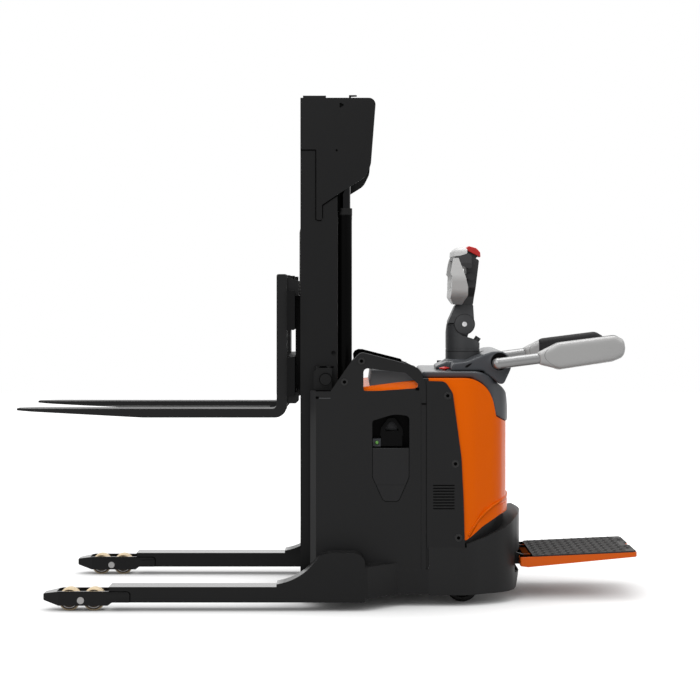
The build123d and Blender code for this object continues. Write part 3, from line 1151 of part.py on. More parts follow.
def make_head():
    """Control column with the horns over the grips, throttle bore, rocker recess and button neck."""
    half = HEAD_W / 2
    slope = math.tan(math.radians(90 - BUTTON_TILT))
    drop = (BUTTON_TRAVEL + 3) / math.cos(math.radians(90 - BUTTON_TILT))
    crest = BUTTON_Z - drop
    column = side_prism([
        (TILT_X - 8, NECK_Z, 0), (HEAD_X + 1, NECK_Z + 38, 10), (HEAD_X - 1, NECK_Z + 65, 10),
        (HEAD_X + 3, NECK_Z + 105, 20), (HEAD_X, HORN_Z + 7, 0),
        (HEAD_X, crest + (BUTTON_X - HEAD_X) * slope, 0),
        (HEAD_BACK, crest - (HEAD_BACK - BUTTON_X) * slope, 8), (HEAD_BACK - 16, NECK_Z + 46, 10),
        (TILT_X + 34, NECK_Z, 4),
    ], -half, half)
    column &= front_prism([
        (-46, NECK_Z - 1, 0), (-46, NECK_Z + 30, 20), (-half, NECK_Z + 70, 20), (-half, GRIP_TOP, 0),
        (half, GRIP_TOP, 0), (half, NECK_Z + 70, 20), (46, NECK_Z + 30, 20), (46, NECK_Z - 1, 0),
    ], TILT_X - 60, TILT_X + 120)
    end = GRIP_SPAN / 2 - HORN_END
    horn = side_prism([
        (GRIP_X0 + 13, HORN_Z + 32, 3), (GRIP_X0 + 16, HORN_TOP - 11, 5), (GRIP_X0 + 37, HORN_TOP - 9, 10),
        (HEAD_X + 2, HORN_TOP, 4), (HEAD_X + 16, HORN_TOP - 8, 6), (HEAD_X + 16, HORN_Z, 6),
        (HEAD_X - 8, HORN_Z + 2, 12),
        (GRIP_X0 + 39, HORN_Z + 14, 12), (GRIP_X0 + 29, HORN_Z + 29, 4),
    ], -end, end)
    horn &= front_prism([
        (-end + 1, HORN_Z - 2, 0), (-end, HORN_Z + 20, 10), (-end + 10, HORN_TOP + 2, 8),
        (end - 10, HORN_TOP + 2, 8),
        (end, HORN_Z + 20, 10), (end - 1, HORN_Z - 2, 0),
    ], GRIP_X0 - 30, HEAD_BACK)
    neck = button_place() * Pos(0, 0, -7) * Box(40, 2 * BUTTON_HALF - 24, 20)
    body = column + horn + neck
    body -= rod_y(THROTTLE_X, THROTTLE_Z, THROTTLE_D + 2 * RUN_FIT, -half - 1, half + 1)
    recess = ROCKER_W / 2 + SLIDE_GAP
    body -= block(ROCKER_X - 14, ROCKER_X + 30, -recess, recess, ROCKER_Z - 22, ROCKER_Z + 22)
    body -= rod_y(ROCKER_X - 4, ROCKER_Z, 8 + 2 * RUN_FIT, -recess - 8, recess + 8)
    body -= button_place() * Pos(0, 0, -16) * Cylinder(BUTTON_STEM_D / 2 + RUN_FIT, 44)
    return body


def make_button():
    """Red belly button: a hollow cap over the head's neck, on its guide stem."""
    side = [(-BUTTON_L, 0, 1.5), (BUTTON_L, 0, 3), (BUTTON_L - 11, 18, 10), (1.5, 26, 24),
            (3 - BUTTON_L, 19, 8)]
    cap = side_prism(side, -BUTTON_HALF, BUTTON_HALF)
    cap = fillet(cap.faces().filter_by(Axis.Y).edges().filter_by(lambda e: e.center().Z > 2), 3)
    cap -= block(-24, 24, 8 - BUTTON_HALF, BUTTON_HALF - 8, -1, 15)
    stem = Pos(0, 0, -2) * Cylinder(BUTTON_STEM_D / 2, 36)
    return button_place() * (cap + stem)


def make_throttle():
    """Butterfly throttle: thumb wheels with paddles on one cross shaft."""
    half = HEAD_W / 2
    shape = rod_y(THROTTLE_X, THROTTLE_Z, THROTTLE_D, -half - THROTTLE_L + 2, half + THROTTLE_L - 2)
    for way in (-1, 1):
        a = way * (half + SLIDE_GAP)
        b = way * (half + THROTTLE_L)
        shape += rod_y(THROTTLE_X, THROTTLE_Z, 28, min(a, b), max(a, b))
        shape += side_prism([(THROTTLE_X, THROTTLE_Z - 13, 0), (THROTTLE_X - 26, THROTTLE_Z - 2, 4),
                             (THROTTLE_X - 28, THROTTLE_Z + 10, 5), (THROTTLE_X, THROTTLE_Z + 13, 0)],
                            min(a, b), max(a, b))
    return shape


def make_rocker():
    """Lift and lower rocker on the operator's face of the head."""
    half = ROCKER_W / 2
    key = side_prism([(ROCKER_X - 9, ROCKER_Z - 16, 3), (ROCKER_X + 4, ROCKER_Z - 19, 3),
                      (ROCKER_X + 2, ROCKER_Z, 60),
                      (ROCKER_X + 4, ROCKER_Z + 19, 3), (ROCKER_X - 9, ROCKER_Z + 16, 3)], -half, half)
    return key + rod_y(ROCKER_X - 4, ROCKER_Z, 8, -half - 7, half + 7)


def make_grip_frame():
    """Light grey grips of the tiller head: yoke round the column, two upright grips and a thumb guard."""
    half = GRIP_SPAN / 2
    inner = HEAD_W / 2
    z0 = NECK_Z + 0.4
    split = z0 + 58
    frame = front_prism([
        (-60, z0 - 4, 16), (-half + 26, z0 + 36, 60), (-half, z0 + 104, 60), (-half + 10, HORN_Z + 60, 0),
        (half - 10, HORN_Z + 60, 0), (half, z0 + 104, 60), (half - 26, z0 + 36, 60), (60, z0 - 4, 16),
    ], GRIP_X0 - 30, HEAD_BACK)
    for way in (-1, 1):
        hole = [(way * (inner + 3), split - 0.2, 0), (way * (half - GRIP_D - 26), split - 0.2, 0),
                (way * (half - GRIP_D - 2), z0 + 100, 40), (way * (half - GRIP_D - 4), HORN_Z + 61, 0),
                (way * (inner + 3), HORN_Z + 61, 0)]
        if way > 0:
            hole.reverse()
        frame -= front_prism(hole, GRIP_X0 - 40, HEAD_BACK + 10)
    frame &= side_prism([
        (GRIP_X0 + 15, z0, 6), (GRIP_X0, z0 + 26, 14), (GRIP_X0 + 4, z0 + 54, 20), (GRIP_X0 + 6, z0 + 112, 6),
        (GRIP_X0, z0 + 120, 6), (GRIP_X0 + 6, HORN_Z + 17, 10), (GRIP_X0 + 12, HORN_Z + 40, 0),
        (GRIP_X0 + 30, HORN_Z + 40, 0), (GRIP_X0 + 57, z0 + 110, 30), (HEAD_X + 2, z0 + 71, 10),
        (HEAD_X + 3, z0 + 37, 12), (HEAD_X - 16, z0, 0),
    ], -half - 1, half + 1)
    frame -= make_head()
    frame -= block(HEAD_X - 6, HEAD_BACK, -inner, inner, split, HORN_Z + 60)
    yoke = frame & block(GRIP_X0 - 40, HEAD_BACK, -half - 1, half + 1, z0 - 5, split)
    uprights = frame & block(GRIP_X0 - 40, HEAD_BACK, -half - 1, half + 1, split, HORN_Z + 60)
    grips = [grip for grip in uprights.solids() if abs(grip.center().Y) > inner]
    end = half - 16
    guard = side_prism([
        (GRIP_X0 + 13, HORN_TOP - 12, 3), (GRIP_X0 + 15, HORN_TOP + 10, 8), (GRIP_X0 + 29, HORN_TOP + 23, 10),
        (GRIP_X0 + 44, GRIP_TOP, 8), (HEAD_X, GRIP_TOP - 12, 5), (HEAD_X - 3, HORN_TOP - 4, 3),
        (GRIP_X0 + 36, HORN_TOP - 12, 3),
    ], -end, end)
    guard &= front_prism([(-end, HORN_TOP - 20, 0), (-end + 6, GRIP_TOP - 14, 20),
                          (-end + 40, GRIP_TOP + 1, 20),
                          (end - 40, GRIP_TOP + 1, 20), (end - 6, GRIP_TOP - 14, 20),
                          (end, HORN_TOP - 20, 0)],
                         GRIP_X0 - 30, HEAD_BACK)
    guard -= make_head()
    reach = BUTTON_HALF + 2
    guard -= button_place() * Pos(0, 0, -BUTTON_TRAVEL - 1) * extrude(Rectangle(2 * BUTTON_L + 5, 2 * reach),
                                                                      60)
    return group(yoke, *grips, guard)


# Side restraint arms

def arm_tube():
    """Tube of the left arm, from its elbow beside the saddle into the pad."""
    y = -SHOULDER_HALF - ARM_OUT
    start = Vector(SHOULDER_X, y, SHOULDER_Z)
    stop = Vector(PAD_JOINT_X + 60, y, PAD_JOINT_Z + 60 * math.tan(math.radians(PAD_TILT)))
    way = stop - start
    return Plane(origin=start, z_dir=way.normalized()) * extrude(Circle(TUBE_D / 2), way.length)


def make_restraint():
    """Left arm: stub in the saddle, elbow and tube up to the pad joint."""
    y0 = -SHOULDER_HALF - BOSS_L - SLIDE_GAP
    y = -SHOULDER_HALF - ARM_OUT
    stub = rod_y(SHOULDER_X, SHOULDER_Z, STUB_D, y0 - 1, -SHOULDER_HALF + STUB_L)
    neck = rod_y(SHOULDER_X, SHOULDER_Z, TUBE_D - 1, y, y0)
    elbow = Pos(SHOULDER_X, y, SHOULDER_Z) * Sphere(TUBE_D / 2 + 1)
    return stub + neck + elbow + arm_tube()


def pad_form(y):
    """Rounded side pad in its tilted place."""
    low = -PAD_H / 2
    high = PAD_H / 2
    sleeve = TUBE_D / 2 + 1.5
    rim = [(0, -sleeve, 5), (76, low, 34), (PAD_L - 54, low + 4, 50), (PAD_L - 10, low + 16, 30),
           (PAD_L, -6, 30),
           (PAD_L, high - 25, 24), (PAD_L - 32, high - 1, 34), (84, high, 34), (0, sleeve, 5)]
    pad = side_prism(rim, -PAD_T / 2, PAD_T / 2)
    pad = fillet(pad.edges().filter_by(Plane.XZ), 18)
    return Pos(PAD_JOINT_X, y, PAD_JOINT_Z) * Rot(0, -PAD_TILT, 0) * pad


def make_pad():
    """Left hand rest pad, bored for its tube."""
    return pad_form(-SHOULDER_HALF - ARM_OUT) - arm_tube()


# Platform

def make_platform():
    """Folding platform: wedge shaped tray with hinge slots and the cross pin."""
    half = PLAT_W / 2
    side = [(PLAT_X0, PLAT_TOP, 2), (PLAT_X1, PLAT_TOP + PLAT_RISE, 2),
            (PLAT_X1, PLAT_TOP + PLAT_RISE - PLAT_T1, 3),
            (PLAT_X0 + 30, PLAT_TOP - PLAT_T0, 10), (PLAT_X0, PLAT_TOP - PLAT_T0 + 4, 4)]
    tray = side_prism(side, -half, half)
    plan = [(PLAT_X0, -half, 6), (PLAT_X1, -half, 14), (PLAT_X1, -40, 30), (PLAT_X1 - 26, 0, 60),
            (PLAT_X1, 40, 30), (PLAT_X1, half, 14), (PLAT_X0, half, 6)]
    tray &= plan_prism(plan, 0, 400)
    hollow = [(PLAT_X0 + 60, PLAT_TOP - 8, 0), (PLAT_X1 - 90, PLAT_TOP + PLAT_RISE - 13, 0),
              (PLAT_X1 - 90, PLAT_TOP - 60, 0), (PLAT_X0 + 60, PLAT_TOP - 60, 0)]
    for y0, y1 in ((-half + 10, -5), (5, half - 10)):
        tray -= side_prism(hollow, y0, y1)
    for way in (-1, 1):
        a = way * (LUG_Y - LUG_T / 2 - 1)
        b = way * (LUG_Y + LUG_T / 2 + 1)
        tray -= block(PLAT_X0 - 1, PLAT_AXIS_X + 34, min(a, b), max(a, b), 0, 400)
    return tray + rod_y(PLAT_AXIS_X, PLAT_AXIS_Z, PLAT_PIN_D, -LUG_Y - LUG_T - 4, LUG_Y + LUG_T + 4)


def make_mat():
    """Rubber mat on the platform."""
    half = PLAT_W / 2 - MAT_EDGE
    rise = PLAT_RISE / (PLAT_X1 - PLAT_X0)
    z0 = PLAT_TOP + (MAT_X0 - PLAT_X0) * rise
    z1 = PLAT_TOP + (PLAT_X1 - 8 - PLAT_X0) * rise
    x1 = PLAT_X1 - 8
    slab = side_prism([(MAT_X0, z0, 0), (MAT_X0, z0 + MAT_T, 2), (x1, z1 + MAT_T, 2), (x1, z1, 0)], -half,
                      half)
    plan = [(MAT_X0, -half, 10), (x1, -half, 12), (x1, -38, 28), (x1 - 26, 0, 60),
            (x1, 38, 28), (x1, half, 12), (MAT_X0, half, 10)]
    return slab & plan_prism(plan, 0, 400)


# Castors and drive

def make_castor(way):
    """Swivel fork of a castor with its stem and wheel axle."""
    y = way * CASTOR_TRACK / 2
    top = CASTOR_PLATE_Z - SLIDE_GAP
    x = CASTOR_X + CASTOR_TRAIL
    z = CASTOR_D / 2
    half = CASTOR_W / 2 + 2
    fork = rod_z(CASTOR_X, y, 76, top - 12, top)
    fork += rod_z(CASTOR_X, y, CASTOR_STEM_D, top - 1, CASTOR_PLATE_Z + DECK_T + 6)
    fork += block(CASTOR_X - 36, CASTOR_X + 40, y - half - CASTOR_FORK_T, y + half + CASTOR_FORK_T, top - 18,
                  top - 11)
    for a in (y - half - CASTOR_FORK_T, y + half):
        fork += side_prism([(CASTOR_X - 36, top - 12, 0), (x - 14, z - 12, 12), (x + 14, z - 12, 12),
                            (CASTOR_X + 40, top - 12, 0)], a, a + CASTOR_FORK_T)
    return fork + rod_y(x, z, CASTOR_AXLE_D, y - half, y + half)


def make_castor_wheel(way):
    """Castor wheel with a crowned tyre and dished hub."""
    r = CASTOR_D / 2
    w = CASTOR_W / 2
    bore = CASTOR_AXLE_D / 2 + RUN_FIT
    profile = [(bore, -w, 0), (r * 0.34, -w, 0), (r * 0.42, -w + 8, 0), (r * 0.66, -w + 8, 0),
               (r * 0.72, -w, 0),
               (r - 8, -w, 0), (r, -w + 9, 6), (r, w - 9, 6), (r - 8, w, 0), (r * 0.72, w, 0),
               (r * 0.66, w - 8, 0), (r * 0.42, w - 8, 0), (r * 0.34, w, 0), (bore, w, 0)]
    wheel = Rot(90, 0, 0) * revolve(outline(Plane.XZ, profile), Axis.Z)
    return Pos(CASTOR_X + CASTOR_TRAIL, way * CASTOR_TRACK / 2, r) * wheel


def make_drive_unit():
    """Steered drive: motor above the deck, turntable, gearbox leg and wheel axle."""
    z = DRIVE_D / 2
    half = DRIVE_W / 2
    top = DECK_TOP + SLIDE_GAP
    unit = rod_z(STEER_X, 0, TURNTABLE_D, DECK_TOP - DECK_T - 20, top + 1)
    unit += rod_z(STEER_X, 0, TURNTABLE_D + 44, top, top + 16)
    unit += rod_z(STEER_X, 0, MOTOR_D, top + 15, MOTOR_TOP)
    unit += rod_z(STEER_X, 0, MOTOR_D * 0.6, MOTOR_TOP - 1, MOTOR_TOP + 24)
    leg = side_prism([(STEER_X - 60, DECK_TOP - DECK_T - 10, 0), (STEER_X - 46, z - 46, 40),
                      (STEER_X + 46, z - 46, 40),
                      (STEER_X + 60, DECK_TOP - DECK_T - 10, 0)], half + 3, half + 46)
    unit += leg
    return unit + rod_y(STEER_X, z, DRIVE_AXLE_D, -half, half + 4)


def make_drive_wheel():
    """Drive wheel with a thick tyre on a dished hub."""
    r = DRIVE_D / 2
    w = DRIVE_W / 2
    bore = DRIVE_AXLE_D / 2 + RUN_FIT
    profile = [(bore, -w, 0), (r * 0.5, -w, 0), (r * 0.56, -w + 12, 0), (r * 0.72, -w + 12, 0),
               (r * 0.76, -w, 0), (r - 7, -w, 0),
               (r, -w + 7, 0), (r, w - 7, 0), (r - 7, w, 0), (bore, w, 0)]
    return Pos(STEER_X, 0, r) * Rot(90, 0, 0) * revolve(outline(Plane.XZ, profile), Axis.Z)


# All pieces

def make_pieces():
    """Every named piece of the truck in its own place."""
    leg = make_leg()
    guard = make_mast_guard()
    barrel = make_lift_barrel()
    rod = make_lift_rod()
    fork = make_fork()
    restraint = make_restraint()
    pad = make_pad()
    half = ROLLER_PITCH / 2
    return {
        "chassis_frame": make_chassis(),
        "left_leg": leg,
        "right_leg": twin(leg),
        "bogie_pins": make_bogie_pins(),
        "left_bogie": make_bogie(-LEG_Y),
        "right_bogie": make_bogie(LEG_Y),
        "left_front_roller": make_roller(BOGIE_X - half, -LEG_Y),
        "left_rear_roller": make_roller(BOGIE_X + half, -LEG_Y),
        "right_front_roller": make_roller(BOGIE_X - half, LEG_Y),
        "right_rear_roller": make_roller(BOGIE_X + half, LEG_Y),
        "outer_mast": make_outer_mast(),
        "mast_guards": group(guard, twin(guard)),
        "lift_barrels": group(barrel, twin(barrel)),
        "lift_rods": group(rod, twin(rod)),
        "inner_mast": make_inner_mast(),
        "free_lift_barrel": make_free_barrel(),
        "free_lift_ram": make_free_ram(),
        "chain_sheaves": make_sheaves(),
        "lift_chains": make_chains(),
        "fork_carriage": make_carriage(),
        "lower_mast_rollers": make_carriage_rollers(CARRIAGE_ROLLER_Z[0]),
        "upper_mast_rollers": make_carriage_rollers(CARRIAGE_ROLLER_Z[1]),
        "left_fork": fork,
        "right_fork": twin(fork),
        "left_door": make_left_door(),
        "right_door": make_right_door(),
        "connector_pocket": make_pocket(),
        "battery_connector": make_connector(),
        "left_panel": make_panel(-1),
        "right_panel": make_panel(1),
        "body_screws": make_screws(),
        "motor_hood": make_hood(),
        "rear_skirt": make_skirt(),
        "top_console": make_console(),
        "emergency_stop": make_stop(),
        "key_switch": make_key(),
        "tiller_saddle": make_saddle(),
        "battery": make_battery(),
        "battery_cover": make_battery_cover(),
        "battery_lid": make_battery_lid(),
        "hydraulic_unit": make_hydraulics(),
        "tiller_turret": make_turret(),
        "tiller_arm": make_arm(),
        "tiller_head": make_head(),
        "grip_frame": make_grip_frame(),
        "belly_button": make_button(),
        "throttle": make_throttle(),
        "lift_rocker": make_rocker(),
        "left_arm": restraint,
        "right_arm": twin(restraint),
        "left_pad": pad,
        "right_pad": twin(pad),
        "platform": make_platform(),
        "platform_mat": make_mat(),
        "left_castor": make_castor(-1),
        "right_castor": make_castor(1),
        "left_castor_wheel": make_castor_wheel(-1),
        "right_castor_wheel": make_castor_wheel(1),
        "drive_unit": make_drive_unit(),
        "drive_wheel": make_drive_wheel(),
    }


os.makedirs("parts", exist_ok=True)
for name, piece in make_pieces().items():
    export_step(Pos(-X_MID, 0, 0) * piece, "parts/" + name + ".step")
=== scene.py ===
"""Dress the electric platform stacker: finishes on every solid, small fittings, floor, light and camera."""

import logging
import math
from dataclasses import dataclass
from enum import Enum
from functools import cache
from typing import Callable, Mapping, Sequence

import bpy
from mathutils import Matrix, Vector


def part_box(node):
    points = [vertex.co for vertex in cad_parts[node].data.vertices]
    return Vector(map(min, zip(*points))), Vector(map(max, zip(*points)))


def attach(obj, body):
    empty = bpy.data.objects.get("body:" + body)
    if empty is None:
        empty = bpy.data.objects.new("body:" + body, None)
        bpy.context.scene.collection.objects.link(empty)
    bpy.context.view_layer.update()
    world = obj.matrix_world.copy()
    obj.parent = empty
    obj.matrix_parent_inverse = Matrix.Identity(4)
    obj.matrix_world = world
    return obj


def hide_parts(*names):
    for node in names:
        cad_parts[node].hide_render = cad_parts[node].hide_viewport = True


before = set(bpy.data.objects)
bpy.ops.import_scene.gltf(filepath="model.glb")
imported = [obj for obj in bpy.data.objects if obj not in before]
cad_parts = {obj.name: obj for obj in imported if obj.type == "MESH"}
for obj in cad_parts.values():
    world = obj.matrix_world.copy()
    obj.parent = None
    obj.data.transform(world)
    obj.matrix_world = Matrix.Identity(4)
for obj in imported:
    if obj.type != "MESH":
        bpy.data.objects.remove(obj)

LOG = logging.getLogger("stacker")
MM = 0.001
MAST_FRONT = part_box("outer_mast")[0][0]     # row x of the mast's front face, the datum of all places
MERGE = 0.01 * MM               # corners of a mesh that lie closer than this are one
CREASE = math.radians(40.0)     # edges that fold more than this are shaded sharp
FACING = 0.9                    # share of a normal from which a face counts as looking that way
ACROSS = (math.pi / 2, 0.0, 0.0)        # turns an upright axis to lie across the truck
WHITE = (1.0, 1.0, 1.0, 1.0)

Colour = tuple[float, float, float]
Point = tuple[float, float, float]
Pair = tuple[float, float]
Outline = tuple[Pair, ...]      # corners of a side view, behind the mast front and above the floor
Piece = bpy.types.Object
Socket = bpy.types.NodeSocket
Outputs = bpy.types.bpy_prop_collection
Feed = float | Sequence[float] | Socket
Test = Callable[[Vector, Vector], bool]
PAINTS: dict[str, bpy.types.Material] = {}      # materials made so far, by the finish's name


def at(x: float, y: float, z: float) -> Vector:
    """Turn a place in millimetres behind the mast's front face into the frame's metres.

    Args:
        x: Millimetres behind the mast front.
        y: Millimetres to the operator's right.
        z: Millimetres above the floor.

    Returns:
        The point in the frame.
    """
    return Vector((MAST_FRONT + x * MM, y * MM, z * MM))


def grey(tone: float) -> Colour:
    """Return an even grey."""
    return (tone, tone, tone)


def oblong(x0: float, z0: float, x1: float, z1: float) -> Outline:
    """Return the outline of an upright rectangle between two corners."""
    return ((x0, z0), (x1, z0), (x1, z1), (x0, z1))


class Side(Enum):
    """The two sides of the truck as seen by the operator."""

    LEFT = -1
    RIGHT = 1

    @property
    def label(self) -> str:
        """Return the side's name as the names of its pieces have it."""
        return self.name.lower()

    def at(self, x: float, y: float, z: float) -> Vector:
        """Return a place in the frame, with y in millimetres out to this side."""
        return at(x, self.value * y, z)

    def span(self, pair: Pair) -> Pair:
        """Return two distances out to this side as places across the truck."""
        return self.value * pair[0], self.value * pair[1]

    def reach(self, node: str) -> float:
        """Return how many millimetres a CAD node reaches out to this side."""
        low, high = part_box(node)
        return abs((low if self is Side.LEFT else high)[1]) / MM

    def outward(self, centre: Vector, normal: Vector) -> bool:
        """Say whether a face looks out to this side."""
        return normal.y * self.value > FACING


# Shared shader effects


@dataclass(frozen=True)
class Graph:
    """A shader node tree with short ways to add nodes and join their sockets."""

    tree: bpy.types.NodeTree

    @classmethod
    def group(cls, name: str, inputs: Mapping[str, str],
              outputs: Mapping[str, str]) -> tuple["Graph", Outputs, bpy.types.Node]:
        """Begin a node group.

        Args:
            name: Name of the group.
            inputs: Kind of each input, by its name.
            outputs: Kind of each output, by its name.

        Returns:
            The group's graph, the sockets of what it is given and the node that takes its results.
        """
        tree = bpy.data.node_groups.new(name, "ShaderNodeTree")
        for way, socket_shades in (("INPUT", inputs), ("OUTPUT", outputs)):
            for label, kind in socket_shades.items():
                tree.interface.new_socket(label, in_out=way, socket_type=f"NodeSocket{kind}")
        return cls(tree), tree.nodes.new("NodeGroupInput").outputs, tree.nodes.new("NodeGroupOutput")

    @property
    def shader(self) -> bpy.types.Node:
        """Return the surface shader of a material."""
        return self.tree.nodes["Principled BSDF"]

    def feed(self, node: bpy.types.Node, feeds: Mapping[str | int, Feed]) -> None:
        """Give inputs of a node their values or links.

        Args:
            node: The node.
            feeds: Value or linked socket of each input, by its name or number.
        """
        for key, value in feeds.items():
            if isinstance(value, bpy.types.NodeSocket):
                self.tree.links.new(value, node.inputs[key])
            else:
                node.inputs[key].default_value = value

    def add(self, kind: str, feeds: Mapping[str | int, Feed], **settings: object) -> Outputs:
        """Add a node.

        Args:
            kind: Type of the node, without the word that all shader nodes start with.
            feeds: Value or linked socket of each input, by its name or number.
            settings: The node's own properties.

        Returns:
            The node's outputs.
        """
        node = self.tree.nodes.new(f"ShaderNode{kind}")
        for label, value in settings.items():
            setattr(node, label, value)
        self.feed(node, feeds)
        return node.outputs

    def maths(self, operation: str, *values: Feed) -> Socket:
        """Return the result of a maths node."""
        return self.add("Math", dict(enumerate(values)), operation=operation)[0]

    def vector(self, operation: str, *values: Feed) -> Socket:
        """Return the result of a vector maths node, which is a number for a length or a dot product."""
        result = "Value" if operation in ("LENGTH", "DOT_PRODUCT") else "Vector"
        return self.add("VectorMath", dict(enumerate(values)), operation=operation)[result]

    def axes(self, vector: Socket) -> Outputs:
        """Return the three parts of a vector."""
        return self.add("SeparateXYZ", {0: vector})

    def noise(self, place: Socket, scale: Feed, detail: float) -> Socket:
        """Return a cloudy value over the surface."""
        return self.add("TexNoise", {"Vector": place, "Scale": scale, "Detail": detail})["Fac"]

    def ramp(self, value: Socket, start: float, end: float, low: Feed = 0.0, high: Feed = 1.0,
             **settings: object) -> Socket:
        """Map a value from one range to another, held at both ends.

        Args:
            value: The value.
            start: Where the first range starts.
            end: Where it ends.
            low: Result at its start.
            high: Result at its end.
            settings: Properties of the node.

        Returns:
            The result's socket.
        """
        feeds = {"Value": value, "From Min": start, "From Max": end, "To Min": low, "To Max": high}
        return self.add("MapRange", feeds, **settings)["Result"]

    def mix(self, factor: Socket, first: Feed, second: Feed) -> Socket:
        """Return the mix of two colours."""
        return self.add("Mix", {0: factor, 6: first, 7: second}, data_type="RGBA")[2]


class Effects:
    """Shader node groups that several finishes place with their own values."""

    rub_bend: Pair = (0.985, 0.80)      # dot of rounded and flat normal where rubbing starts and is full
    rub_patches: Pair = (0.42, 0.62)
    rub_noise: Pair = (55.0, 4.0)       # scale and detail
    dust_noise: Pair = (14.0, 6.0)
    dust_from: float = 0.55             # upward share of the normal at which dust starts to lie
    dust_colour: tuple[float, ...] = (0.42, 0.40, 0.37, 1.0)
    grain_detail: float = 3.0
    mottle_detail: float = 5.0

    @staticmethod
    @cache
    def grain() -> bpy.types.NodeTree:
        """Make the moulded or sprayed surface grain, put out as a height.

        Returns:
            The node group.
        """
        graph, given, out = Graph.group(
            "surface_grain", {"Vector": "Vector", "Scale": "Float", "Cells": "Float"}, {"Height": "Float"})
        noise = graph.noise(given["Vector"], given["Scale"], Effects.grain_detail)
        cells = graph.add("TexVoronoi", {"Vector": given["Vector"], "Scale": given["Scale"]},
                          feature="SMOOTH_F1")
        height = graph.add("Mix", {"Factor": given["Cells"], "A": noise, "B": cells["Distance"]})["Result"]
        graph.feed(out, {"Height": height})
        return graph.tree

    @staticmethod
    @cache
    def mottle() -> bpy.types.NodeTree:
        """Make the soft unevenness of tone and gloss over a large surface.

        Returns:
            The node group.
        """
        graph, given, out = Graph.group(
            "tone_mottle", {"Vector": "Vector", "Color": "Color", "Amount": "Float", "Scale": "Float",
                            "Roughness": "Float", "Spread": "Float"},
            {"Color": "Color", "Roughness": "Float"})
        noise = graph.noise(given["Vector"], given["Scale"], Effects.mottle_detail)
        shade = graph.ramp(noise, 0.0, 1.0, graph.maths("SUBTRACT", 1.0, given["Amount"]),
                           graph.maths("ADD", 1.0, given["Amount"]))
        tone = graph.add("VectorMath", {0: given["Color"], "Scale": shade}, operation="SCALE")["Vector"]
        gloss = graph.maths("MULTIPLY_ADD", graph.maths("SUBTRACT", noise, 0.5), given["Spread"],
                            given["Roughness"])
        graph.feed(out, {"Color": tone, "Roughness": gloss})
        return graph.tree

    @staticmethod
    @cache
    def rub() -> bpy.types.NodeTree:
        """Make the lightening of corners that hands and loads rub, found from rounded normals.

        Returns:
            The node group.
        """
        graph, given, out = Graph.group(
            "edge_rub", {"Vector": "Vector", "Color": "Color", "Rubbed": "Color", "Width": "Float",
                         "Amount": "Float"}, {"Color": "Color"})
        rounded = graph.add("Bevel", {"Radius": given["Width"]}, samples=4)["Normal"]
        lean = graph.vector("DOT_PRODUCT", rounded, graph.add("NewGeometry", {})["True Normal"])
        patches = graph.ramp(graph.noise(given["Vector"], *Effects.rub_noise), *Effects.rub_patches)
        edge = graph.maths("MULTIPLY", graph.ramp(lean, *Effects.rub_bend), patches)
        mask = graph.maths("MULTIPLY", edge, given["Amount"])
        graph.feed(out, {"Color": graph.mix(mask, given["Color"], given["Rubbed"])})
        return graph.tree

    @staticmethod
    @cache
    def dust() -> bpy.types.NodeTree:
        """Make the thin dust that lies on faces that look up.

        Returns:
            The node group.
        """
        graph, given, out = Graph.group(
            "settled_dust", {"Vector": "Vector", "Color": "Color", "Amount": "Float"}, {"Color": "Color"})
        flat = graph.ramp(graph.axes(graph.add("NewGeometry", {})["Normal"])["Z"], Effects.dust_from, 1.0)
        film = graph.maths("MULTIPLY", flat, graph.noise(given["Vector"], *Effects.dust_noise))
        mask = graph.maths("MULTIPLY", film, given["Amount"])
        graph.feed(out, {"Color": graph.mix(mask, given["Color"], Effects.dust_colour)})
        return graph.tree


# Finishes


@dataclass(frozen=True)
class Grain:
    """Fine relief of a surface."""

    scale: float = 900.0
    cells: float = 0.4          # share of rounded cells, as on moulded plastic; the rest is cloudy
    depth: float = 0.04         # millimetres


@dataclass(frozen=True)
class Wear:
    """Marks of use: rubbed corners and settled dust."""

    rubbed: Colour = (0.20, 0.20, 0.20)
    amount: float = 0.25
    dust: float = 0.05
    width: float = 1.6          # millimetres of a corner that are rubbed


UNTOUCHED = Wear(amount=0.0, dust=0.0)


